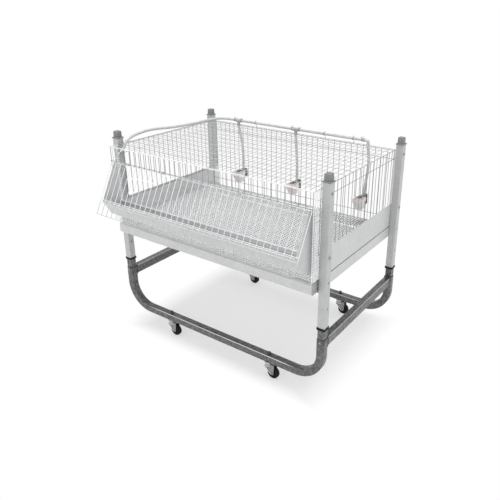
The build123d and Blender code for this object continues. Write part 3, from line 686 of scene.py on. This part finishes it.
gate_slope = radians(28)
wire_start, top_line = 0.0045, 0.0056
lip_from_end, lip_gap = 0.064, 0.016
knuckle_count, knuckle_spacing = 5, 7 * wall_pitch
knuckle_radius, knuckle_length, knuckle_wall = 0.005, 0.012, 0.0022


def down_gate(across, along, out=0.0):
    """Point on the gate: so far along the rod, so far down from it and so far out from the gate's middle."""
    return Vector((
        across,
        hinge_y - along * sin(gate_slope) - out * cos(gate_slope),
        hinge_z - along * cos(gate_slope) + out * sin(gate_slope),
    ))


def gate_wires():
    """Slanted flap of wires with a double wire at the trough's lip, and the tubes that hang it on the rod."""
    low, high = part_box("front_gate")
    half = high.x
    length = (hinge_z - low.z - wire / 2 * sin(gate_slope)) / cos(gate_slope)
    lip = length - lip_from_end
    first = -half + wire / 2
    span = (2 * half - wire, 0, 0)
    parts = [wire_row(down_gate(first, wire_start), down_gate(first, length), gate_count, span)]
    for along, out in ((top_line, 0), (lip, weld), (lip + lip_gap, weld), (length - wire / 2, -weld)):
        parts.append(straight_wire(down_gate(-half, along, out), down_gate(half, along, out)))
    fit_out(join(parts), "gate_wires", "gate_wire_lit", "front_gate", body="gate")
    first = -(knuckle_count - 1) / 2 * knuckle_spacing
    knuckle = round_bar((first, hinge_y, hinge_z), along_x, knuckle_radius, knuckle_length, sides=20)
    step_faces(knuckle, lambda middle, normal: abs(normal.x) > 0.9, (knuckle_wall, 0), (0.0001, -0.002))
    ease_edges(knuckle, 0.0004, 1)
    knuckles = repeat(knuckle, knuckle_count, (knuckle_spacing, 0, 0))
    fit_out(knuckles, "gate_knuckles", "roof_wire_half_lit", "front_gate", body="gate")


def trough_hem():
    """Folded hem along the top of the trough's back wall, lightened with painted light and shaded towards its
    left with painted shade, and the rolled beads of both its walls, bright with painted highlights.
    """
    low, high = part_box("feed_trough")
    half = high.x - 0.0165
    back = hinge_y + 0.0166
    hem_foot, hem_top, hem_half = 0.586, 0.607, 0.0016
    front_y, front_z = low.y + 0.0032, 0.6296
    hem = block((-half, back - hem_half, hem_foot), (half, back + hem_half, hem_top))

    def along_top(first, second):
        return min(first.z, second.z) > hem_top - 0.001 and abs(first.y - second.y) < 0.0001

    round_off(hem, along_top, 0.0015, 4)
    fit_out(hem, "trough_hem", "hem_zinc_painted_light")
    # The beads take the brightest wire tone: painted highlights along the lip and along the back wall's top.
    front_bead = round_bar((0, front_y, front_z), along_x, 0.0024, 2 * half, sides=12)
    back_bead = round_bar((0, back, hem_top), along_x, 0.0021, 2 * half, sides=12)
    beads = [ease_edges(front_bead, 0.0008, 2, 60), ease_edges(back_bead, 0.0007, 2, 60)]
    fit_out(join(beads), "trough_beads", "brightest_lit_wire")


def tray_ends():
    """Plates that close the two ends of the tray's folded front, dark with painted shade, and the bead along
    its rear edge, bright with a painted highlight.
    """
    low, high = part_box("droppings_tray")
    plate_back, sheet, fold = -0.2342, 0.0012, 0.0050
    bead_radius, bead_inset, bead_short = 0.0062, 0.0075, 0.006
    plate = block((high.x - sheet, low.y, low.z), (high.x, plate_back, high.z))

    def at_front(first, second):
        return max(first.y, second.y) < low.y + 0.001 and abs(first.x - second.x) > 0.001

    round_off(plate, at_front, fold, 1)
    ease_edges(plate, 0.0003)
    other = double(plate, (low.x - high.x + sheet, 0, 0))
    fit_out(join([plate, other]), "tray_front_ends", "fold_shade_and_bolt_zinc", body="tray")
    middle = (0, high.y - bead_inset, low.z + bead_inset)
    bead = round_bar(middle, along_x, bead_radius, high.x - low.x - bead_short, sides=16)
    # Bright bead: a painted highlight along the tray's rear edge.
    fit_out(ease_edges(bead, 0.0012, 2, 60), "tray_rear_bead", "brightest_lit_wire", body="tray")


rear_wall_wires()
side_wall_wires("left", -1)
side_wall_wires("right", 1)
roof_wires()
floor_wires()
front_strip_wires()
gate_wires()
trough_hem()
tray_ends()


# Water line: hoses, tees, clamps and ties

hose_size, hose_wall, bore_depth = 0.012, 0.002, 0.014
hose_y, hose_z = 0.3404, 0.8620
clamp_wire = 0.0016
main_route = (
    (-0.4680, -0.2525, 0.8020), (-0.4680, -0.2225, 0.8160), (-0.4680, -0.1989, 0.8590),
    (-0.4733, -0.0951, 0.8715), (-0.4733, -0.0113, 0.8660), (-0.4733, 0.0780, 0.8550),
    (-0.4733, 0.2176, 0.8485), (-0.4733, 0.2904, 0.8475), (-0.4613, 0.3264, 0.8500),
    (-0.4213, 0.3404, 0.8580), (-0.3633, 0.3404, 0.8620), (-0.3053, 0.3404, 0.8620),
    (0.3527, 0.3404, 0.8620),
)
drop_routes = (
    ((-0.3067, 0.3404, 0.8379), (-0.2990, 0.3404, 0.8080), (-0.2815, 0.3380, 0.7400),
     (-0.2770, 0.3340, 0.6629), (-0.2767, 0.3334, 0.6320)),
    ((0.0150, 0.3404, 0.8379), (0.0180, 0.3404, 0.7990), (0.0265, 0.3380, 0.7250),
     (0.0300, 0.3340, 0.6629), (0.0300, 0.3334, 0.6320)),
    ((0.3677, 0.3404, 0.8379), (0.3765, 0.3404, 0.7990), (0.3760, 0.3380, 0.7250),
     (0.3670, 0.3340, 0.6629), (0.3657, 0.3334, 0.6320)),
)
tee_places = (-0.3067, 0.0150)
elbow_x = 0.3677
clamp_places = (-0.3267, -0.2867, -0.0050, 0.0350, 0.3390)
clip_places = (-0.2068, 0.1609, 0.2987)
tie_foot = 0.8385


def hose_tube(name, route):
    """Smooth tube along a route's points."""
    curve = bpy.data.curves.new(name, "CURVE")
    curve.dimensions = "3D"
    line = curve.splines.new("NURBS")
    line.points.add(len(route) - 1)
    for place, point in zip(line.points, route):
        place.co = (*point, 1)
    line.order_u = 3
    line.use_endpoint_u = True
    line.resolution_u = 14
    curve.bevel_depth = hose_size / 2
    curve.bevel_resolution = 5
    curve.use_fill_caps = True
    tube = bpy.data.objects.new(name, curve)
    scene.collection.objects.link(tube)
    take(tube)
    bpy.ops.object.convert(target="MESH")
    return bpy.context.object


def water_hoses():
    """Main hose with its open end, and the three drop hoses."""
    main = hose_tube("main_hose", main_route)
    end = Vector(main_route[0])
    step_faces(main, lambda middle, normal: (middle - end).length < 0.0005,
               (hose_wall, 0), (0.0001, -bore_depth))
    fit_out(main, "main_hose", "hose_rubber", "water_hose", angle=50)
    for number, route in enumerate(drop_routes, start=1):
        drop = hose_tube(f"drop_tube_{number}", route)
        fit_out(drop, f"drop_tube_{number}", "hose_rubber", f"drop_hose_{number}", angle=50)


def ribbed_sleeve(middle, direction, radius, length, rib):
    """Sleeve with a raised rib near each end."""
    # A rib's two edges, as shares of the length from the middle
    inner, outer = 0.28, 0.42
    middle, direction = Vector(middle), Vector(direction)
    sleeve = round_bar(middle, direction, radius, length)
    for share in (-outer, -inner, inner, outer):
        open_all(sleeve)
        bpy.ops.mesh.bisect(plane_co=middle + direction * length * share, plane_no=direction)
        shut()

    def on_rib(centre, normal):
        share = abs((centre - middle).dot(direction)) / length
        return inner < share < outer and abs(normal.dot(direction)) < 0.5

    open_faces(sleeve, on_rib)
    bpy.ops.mesh.extrude_region_shrink_fatten(TRANSFORM_OT_shrink_fatten={"value": rib})
    shut()
    return ease_edges(sleeve, 0.0004, 1)


def hose_tees():
    """Tees on the hose for two drop hoses, and the elbow at its end for the third."""
    parts = []
    for place in tee_places:
        parts.append(ribbed_sleeve((place, hose_y, hose_z), along_x, 0.0078, 0.032, 0.0007))
        parts.append(ribbed_sleeve((place, hose_y, 0.847), upward, 0.0067, 0.022, 0.0006))
    parts.append(ribbed_sleeve((0.348, hose_y, hose_z), along_x, 0.0072, 0.010, 0.0006))
    fit_out(join(parts), "hose_tees", "fitting_plastic", "hose_fittings")
    elbow = hose_tube("elbow", (
        (0.349, hose_y, hose_z), (0.360, hose_y, hose_z), (elbow_x, hose_y, 0.861),
        (elbow_x, hose_y, 0.850), (elbow_x, hose_y, 0.836)))
    take(elbow)
    bpy.ops.transform.resize(value=(1, 1.12, 1), center_override=(elbow_x, hose_y, hose_z))
    elbow = settle()
    collar = ribbed_sleeve((elbow_x, hose_y, 0.843), upward, 0.0070, 0.014, 0.0006)
    fit_out(join([elbow, collar]), "hose_elbow", "hose_rubber", "hose_fittings", angle=50)


def hose_clamps():
    """Bent wire clamps beside the tees, with their two ends standing up."""
    parts = []
    for place in clamp_places:
        parts.append(ring((place, hose_y, hose_z), along_x, hose_size / 2 + clamp_wire * 0.4, clamp_wire))
        for lean in (-0.0035, 0.0035):
            root = (place + lean * 0.3, hose_y + lean * 0.4, hose_z + hose_size / 2)
            tip = (place + lean, hose_y + lean, hose_z + 0.0135)
            parts.append(straight_wire(root, tip, clamp_wire))
    fit_out(join(parts), "hose_clamps", "clamp_zinc")


def hose_ties():
    """Wire loops that hang the hose on the rear wall, and the one that holds its end to the left wall."""
    loop_radius = hose_size / 2 + clamp_wire * 0.45
    parts = []
    for place in clip_places:
        parts.append(ring((place, hose_y, hose_z), along_x, loop_radius, clamp_wire))
        leg_foot = (place, hose_y + 0.0088, tie_foot)
        parts.append(straight_wire((place, hose_y + 0.0062, hose_z), leg_foot, clamp_wire))
        ear_root = (place + 0.002, hose_y + 0.001, hose_z + 0.006)
        parts.append(straight_wire(ear_root, (place + 0.003, hose_y + 0.001, hose_z + 0.012), clamp_wire))
    end, bend = Vector(main_route[0]), Vector(main_route[1])
    held = end.lerp(bend, 0.35)
    parts.append(ring(held, bend - end, loop_radius, clamp_wire))
    parts.append(straight_wire(held + Vector((-0.0062, 0, 0)), (-0.4815, -0.2365, held.z), clamp_wire))
    fit_out(join(parts), "hose_ties", "clamp_zinc", "hose_clips")


water_hoses()
hose_tees()
hose_clamps()
hose_ties()


# Drinkers: cup, valve and trigger


def push(depth, size, centre):
    """Draw the selected faces down by a depth, and scale them about a centre."""
    bpy.ops.mesh.extrude_region_move(TRANSFORM_OT_translate={"value": (0, 0, -depth)})
    bpy.ops.transform.resize(value=(*size, 1), center_override=centre)


def drinker_cup(number):
    """Tapered cup with a narrow foot, hollow down into the foot."""
    low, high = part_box(f"drinker_cup_{number}")
    middle = (low.x + high.x) / 2
    foot_height, wall, cup_depth, foot_depth = 0.020, 0.0018, 0.028, 0.0155
    ledge = low.z + foot_height
    cup = block((low.x, low.y, ledge), high)
    round_off(cup, lambda first, second: abs(first.z - second.z) > 0.02, 0.010, 6)
    open_faces(cup, lambda centre, normal: normal.z < -0.9)
    bpy.ops.transform.resize(value=(0.80, 0.805, 1), center_override=(middle, high.y, ledge))
    bpy.ops.mesh.inset(thickness=wall)
    push(foot_height, (0.86, 0.88), (middle, high.y - wall, low.z))
    shut()
    open_faces(cup, lambda centre, normal: normal.z > 0.9)
    bpy.ops.mesh.inset(thickness=wall)
    push(cup_depth, (0.778, 0.789), (middle, high.y - wall, ledge))
    push(foot_depth, (0.72, 0.72), (middle, high.y - 0.0078, ledge))
    shut()
    ease_edges(cup, 0.0007, 2, 40)
    fit_out(cup, f"drinker_bowl_{number}", "cup_plastic", f"drinker_cup_{number}", angle=50)


def drinker_valve(number):
    """Valve on its bracket: plate with screws, barrel with nut, web, hanger for the cup and trigger arm."""
    low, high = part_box(f"drinker_valve_{number}")
    middle = (low.x + high.x) / 2
    barrel_y, plate_y = high.y - 0.015, high.y - 0.003
    plate = block((low.x, plate_y, low.z), high)
    round_off(plate, lambda first, second: abs(first.y - second.y) > 0.002, 0.005, 4)
    parts = [ease_edges(plate, 0.0006)]
    for height in (low.z + 0.006, high.z - 0.005):
        for side in (-0.0085, 0.0085):
            parts.append(hex_head((middle + side, high.y - 0.004, height), (0, -1, 0), 0.006, 0.002))
    parts.append(ribbed_sleeve((middle, barrel_y, high.z - 0.017), upward, 0.0065, 0.034, 0.0005))
    parts.append(hex_head((middle, barrel_y, high.z - 0.004), upward, 0.0165, 0.007))
    web = block((middle - 0.003, barrel_y, high.z - 0.030), (middle + 0.003, plate_y, high.z - 0.004))
    parts.append(ease_edges(web, 0.0006))
    hanger = block((middle - 0.010, high.y - 0.025, high.z - 0.031),
                   (middle + 0.010, plate_y, high.z - 0.025))
    round_off(hanger, lambda first, second: abs(first.z - second.z) > 0.003 and first.y < barrel_y, 0.003, 3)
    parts.append(ease_edges(hanger, 0.0006))
    pin_place = (middle, low.y + 0.004, high.z - 0.0035)
    tip = round_bar(pin_place, along_x, 0.0035, 0.010, 20)
    root = block((middle - 0.005, barrel_y - 0.006, high.z - 0.007), (middle + 0.005, barrel_y, high.z))
    parts.append(ease_edges(wrap([tip, root]), 0.0008))
    pin = round_bar(pin_place, along_x, 0.0015, 0.015, 14)
    parts.append(ease_edges(pin, 0.0003, 2, 60))
    fit_out(join(parts), f"drinker_nipple_{number}", "valve_plastic", f"drinker_valve_{number}")


def drinker_trigger(number):
    """Trigger: two arms on the valve's pin and a dished paddle between them."""
    node = f"drinker_trigger_{number}"
    low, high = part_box(node)
    level = (low.z + high.z) / 2
    pin_y = high.y - 0.003
    arm = 0.002
    parts = []
    for side in (low.x + arm / 2, high.x - arm / 2):
        eye = round_bar((side, pin_y, level), along_x, 0.003, arm, 18)
        toe = round_bar((side, low.y + 0.002, level - 0.0008), along_x, 0.002, arm, 14)
        parts.append(ease_edges(wrap([eye, toe]), 0.0004))
    paddle_back = pin_y - 0.0085
    paddle = block((low.x + arm, low.y + 0.0006, level - 0.001), (high.x - arm, paddle_back, level + 0.001))
    step_faces(paddle, lambda centre, normal: normal.z > 0.9, (0.0015, 0), (0.001, -0.0007))
    parts.append(ease_edges(paddle, 0.0003))
    fit_out(join(parts), f"drinker_lever_{number}", "trigger_plastic", node, body=f"trigger_{number}")


for number in (1, 2, 3):
    drinker_cup(number)
    drinker_valve(number)
    drinker_trigger(number)


# Stand: base tubes, casters and post caps

half_length = 0.5
base_side, base_corner, base_bend = 0.032, 0.005, 0.108
run_height = 0.087
bend_steps = 20
wheel_radius, wheel_width, wheel_trail = 0.025, 0.018, 0.021
fork_top, fork_sheet = 0.0667, 0.002


def base_tube(side):
    """Square tube with rounded corners, bent up at both ends into legs."""
    node = f"base_tube_{side}"
    low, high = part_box(node)
    place = (low.y + high.y) / 2
    leg = leg_top - run_height - base_bend
    run = 2 * (half_length - base_bend)
    bpy.ops.object.select_all(action="DESELECT")
    bpy.ops.mesh.primitive_plane_add(size=base_side, location=(-half_length, place, leg_top))
    tube = settle()
    open_all(tube)
    bpy.ops.mesh.bevel(offset=base_corner, segments=5, affect="VERTICES")
    bpy.ops.mesh.delete(type="ONLY_FACE")
    bpy.ops.mesh.select_all(action="SELECT")
    for straight, bend_x in (((0, 0, -leg), base_bend - half_length), ((run, 0, 0), half_length - base_bend)):
        bpy.ops.mesh.extrude_edges_move(TRANSFORM_OT_translate={"value": straight})
        bend_middle = (bend_x, place, leg_top - leg)
        bpy.ops.mesh.spin(steps=bend_steps, angle=pi / 2, center=bend_middle, axis=along_y)
    bpy.ops.mesh.extrude_edges_move(TRANSFORM_OT_translate={"value": (0, 0, leg)})
    bpy.ops.mesh.select_all(action="SELECT")
    bpy.ops.mesh.remove_doubles(threshold=0.00001)
    bpy.ops.mesh.fill_holes(sides=0)
    bpy.ops.mesh.select_all(action="SELECT")
    bpy.ops.mesh.normals_make_consistent(inside=False)
    shut()

    def leg_end(centre, normal):
        return normal.z > 0.9 and centre.z > leg_top - 0.001

    step_faces(tube, leg_end, (0.0024, 0), (0.0001, -0.004))
    fit_out(tube, f"bent_base_tube_{side}", "base_zinc", node, angle=40)


def stem_place(corner):
    """Place of a caster's stem, ahead of its trailing wheel."""
    low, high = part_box(f"caster_fork_{corner}")
    return Vector((low.x + 0.017, (low.y + high.y) / 2, 0))


def caster_stem(x, y):
    """Bolt of a caster: neck under the tube, nut and thread on top, head under the fork."""
    neck = ease_edges(round_bar((x, y, 0.0678), upward, 0.0140, 0.0022, 36), 0.0004)
    nut = hex_head((x, y, 0.107), upward, 0.017, 0.008)
    thread = ease_edges(round_bar((x, y, 0.1105), upward, 0.0046, 0.007, 20), 0.0006)
    head = ease_edges(round_bar((x, y, 0.0585), upward, 0.0085, 0.003, 24), 0.0006)
    turns = repeat(ring((x, y, 0.1118), upward, 0.0046, 0.0008, 20, 5), 2, (0, 0, 0.0012))
    return join([neck, nut, thread, head, turns])


def caster_race(x, y):
    """Washer plate between the tube and the fork's head, bright with a painted highlight."""
    return ease_edges(round_bar((x, y, 0.0700), upward, 0.017, 0.0022, 40), 0.0008, 3)


def fork_rings(x, y):
    """Two bearing rings of the fork's head and the rolled rims of its cheeks, bright with painted highlights.
    """
    upper = ease_edges(round_bar((x, y, 0.0645), upward, 0.0170, 0.0044, 40), 0.0018, 3)
    parts = [upper, double(upper, (0, 0, -0.0092))]
    for side in (-0.0118, 0.0118):
        parts.append(straight_wire((x - 0.0140, y + side, 0.0490), (x + 0.0165, y + side, 0.0195), 0.0038))
    return join(parts)


def fork_waist(x, y):
    """Waist of the fork's head between its bearing rings, dark with painted shade."""
    return ease_edges(round_bar((x, y, 0.0598), upward, 0.0150, 0.0130, 40), 0.0006)


def caster_fork(x, y):
    """Pressed fork: crown, two trailing cheeks and the axle bolt."""
    front, back = x - 0.0145, x + 0.0300
    axle_x = x + wheel_trail
    parts = []
    for side in (y - 0.0115, y + 0.0115):
        near, far = side - fork_sheet / 2, side + fork_sheet / 2
        eye = round_bar((axle_x, side, wheel_radius), along_y, 0.0075, fork_sheet, 28)
        root = block((x + 0.0020, near, 0.0535), (back, far, fork_top))
        toe = block((front, near, 0.0485), (x - 0.0100, far, 0.0525))
        parts.append(ease_edges(wrap([eye, root, toe]), 0.0005))
    crown = block((front, y - 0.0125, fork_top - fork_sheet), (back, y + 0.0125, fork_top))
    parts.append(ease_edges(crown, 0.0005))
    for way in (-1, 1):
        parts.append(hex_head((axle_x, y + way * 0.0135, wheel_radius), (0, way, 0), 0.0095, 0.002))
    return join(parts)


def caster_wheel(x, y):
    """Wheel with a crowned tread, a parting groove, dished faces and a hub that stands proud."""
    hub = Vector((x + wheel_trail, y, wheel_radius))
    groove = Vector((0, 0.0008, 0))
    wheel = round_bar(hub, along_y, wheel_radius, wheel_width, 56)
    round_off(wheel, lambda first, second: abs(first.y - second.y) < 0.0001, 0.004, 4)
    rim, dish, web = (0.0025, 0), (0.0008, -0.003), (0.0086, 0)
    hub_rise, hub_face, bore = (0.0005, 0.0035), (0.0045, 0), (0.0002, -0.003)
    step_faces(wheel, lambda centre, normal: abs(normal.y) > 0.99, rim, dish, web, hub_rise, hub_face, bore)
    for place in (hub + groove, hub - groove):
        open_all(wheel)
        bpy.ops.mesh.bisect(plane_co=place, plane_no=along_y)
        shut()
    open_faces(wheel, lambda centre, normal: abs(centre.y - y) < 0.0005 and abs(normal.y) < 0.1)
    bpy.ops.mesh.extrude_region_shrink_fatten(TRANSFORM_OT_shrink_fatten={"value": -0.0006})
    shut()
    return ease_edges(wheel, 0.0003, 2, 35)


def casters():
    """One caster modelled at the first corner, and copied to the others before it is hung."""
    places = [stem_place(corner) for corner in corners]
    x, y = places[0].x, places[0].y
    stems, races, forks, rings, waists, wheels = (
        copies(make(x, y), places)
        for make in (caster_stem, caster_race, caster_fork, fork_rings, fork_waist, caster_wheel))
    for corner, fork, bright, waist, wheel in zip(corners, forks, rings, waists, wheels):
        body = f"fork_{corner}"
        fit_out(fork, f"pressed_fork_{corner}", "bright_zinc", f"caster_fork_{corner}", body=body)
        fit_out(bright, f"fork_rings_{corner}", "race_zinc_painted_highlight", body=body)
        fit_out(waist, f"fork_waist_{corner}", "stem_zinc_and_waist_shade", body=body)
        body = f"wheel_{corner}"
        fit_out(wheel, f"rolling_wheel_{corner}", "wheel_rubber", f"caster_wheel_{corner}", body=body)
    fit_out(join(stems), "caster_bolts", "stem_zinc_and_waist_shade", "caster_stems")
    fit_out(join(races), "caster_races", "race_zinc_painted_highlight", "caster_stems")


def cap_place(corner):
    """Middle of a post's cap."""
    low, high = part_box(f"post_cap_{corner}")
    return (low + high) / 2


def post_caps():
    """Flange on the post and the square plug above it, modelled once and copied before they are hung."""
    low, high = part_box(f"post_cap_{corners[0]}")
    middle = cap_place(corners[0])
    flange_foot, plug_foot, plug_half = 0.861, 0.865, 0.01225
    flange = block((low.x, low.y, flange_foot), (high.x, high.y, plug_foot))
    round_off(flange, lambda first, second: abs(first.z - second.z) > 0.003, 0.0015, 3)
    plug = block((middle.x - plug_half, middle.y - plug_half, plug_foot),
                 (middle.x + plug_half, middle.y + plug_half, high.z))
    open_faces(plug, lambda centre, normal: normal.z > 0.9)
    bpy.ops.transform.resize(value=(0.93, 0.93, 1), center_override=(middle.x, middle.y, high.z))
    bpy.ops.mesh.inset(thickness=0.0024)
    bpy.ops.mesh.inset(thickness=0.0008, depth=-0.0016)
    shut()
    cap = join([ease_edges(flange, 0.0008, 3), ease_edges(plug, 0.0007, 3)])
    places = [cap_place(corner) for corner in corners]
    for corner, here in zip(corners, copies(cap, places)):
        fit_out(here, f"stacking_cap_{corner}", "cap_plastic", f"post_cap_{corner}")


base_tube("front")
base_tube("rear")
casters()
post_caps()


# Studio: pale floor, soft light and the camera


def seen_rays(tree):
    """Mask of the rays that look at the background, straight or by way of metal."""
    rays = add(tree, "LightPath").outputs
    seen = arithmetic(tree, "MAXIMUM", rays["Is Camera Ray"], rays["Is Glossy Ray"])
    return arithmetic(tree, "MAXIMUM", seen, rays["Is Transmission Ray"])


def blend_shaders(tree, mask, first, second, output):
    """Two shaders mixed by a mask into the tree's output."""
    share = add(tree, "MixShader")
    for socket, value in zip(share.inputs, (mask, first.outputs[0], second.outputs[0])):
        tree.links.new(value, socket)
    tree.links.new(share.outputs[0], tree.nodes[output].inputs[0])


def pale_floor():
    """White floor that keeps the shadow under the stand and runs out to plain white."""
    bpy.ops.object.select_all(action="DESELECT")
    bpy.ops.mesh.primitive_plane_add(size=60)
    floor = bpy.context.object
    floor.name = "studio_floor"
    made, tree, shader = new_finish("studio_floor")
    tree.nodes.remove(shader)
    paint = add(tree, "BsdfDiffuse")
    paint.inputs[0].default_value = (0.92, 0.92, 0.92, 1)
    glow = add(tree, "Emission")
    place = place_on(tree)
    deep = arithmetic(tree, "SUBTRACT", place["Y"], (tie_low.y + tie_high.y) / 2 + 0.02)
    aside = spread(tree, arithmetic(tree, "ABSOLUTE", place["X"]), 0.40, 0.54)
    beyond = spread(tree, arithmetic(tree, "ABSOLUTE", deep), 0.32, 0.39)
    away = spread(tree, arithmetic(tree, "MAXIMUM", aside, beyond), 0, 1, 0.5, 1)
    blend_shaders(tree, product(tree, seen_rays(tree), away), paint, glow, "Material Output")
    floor.data.materials.append(made)


def studio_light():
    """Even light from all round, white where it is seen, and three soft lamps."""
    world = bpy.data.worlds.new("studio")
    world.use_nodes = True
    scene.world = world
    tree = world.node_tree
    soft = tree.nodes["Background"]
    soft.inputs[0].default_value = (0.99, 0.995, 1, 1)
    soft.inputs[1].default_value = 0.70
    white = add(tree, "Background")
    white.inputs[0].default_value = (1, 1, 1, 1)
    blend_shaders(tree, seen_rays(tree), soft, white, "World Output")
    for name, place, aim, size, power in (
        ("key_lamp", (-0.3, -0.9, 8.0), (0, 0.1, 0.3), 1.2, 350),
        ("front_lamp", (-0.6, -3.2, 1.2), (0, 0, 0.5), 2.2, 12),
        ("right_lamp", (3.2, 0.2, 1.4), (0, 0, 0.5), 2.0, 14),
    ):
        lamp = bpy.data.lights.new(name, "AREA")
        lamp.shape = "SQUARE"
        lamp.size = size
        lamp.energy = power
        held = bpy.data.objects.new(name, lamp)
        held.location = place
        held.rotation_euler = (Vector(aim) - Vector(place)).to_track_quat("-Z", "Y").to_euler()
        scene.collection.objects.link(held)


def photo_camera():
    """Camera at the photograph's viewing angle."""
    lens = bpy.data.cameras.new("photo_camera")
    lens.sensor_fit = "HORIZONTAL"
    lens.sensor_width = 36
    lens.lens = 39.42
    lens.shift_x = -0.06023
    lens.shift_y = -0.04965
    lens.clip_start, lens.clip_end = 0.05, 200
    held = bpy.data.objects.new("photo_camera", lens)
    held.matrix_world = Matrix((
        (0.82621493, -0.2227995, 0.51742561, 1.30545),
        (0.56332503, 0.31726263, -0.76289536, -1.68117),
        (0.00581289, 0.92179434, 0.38763566, 1.40931),
        (0, 0, 0, 1),
    ))
    scene.collection.objects.link(held)
    scene.camera = held


pale_floor()
studio_light()
photo_camera()
scene.view_settings.view_transform = "Standard"
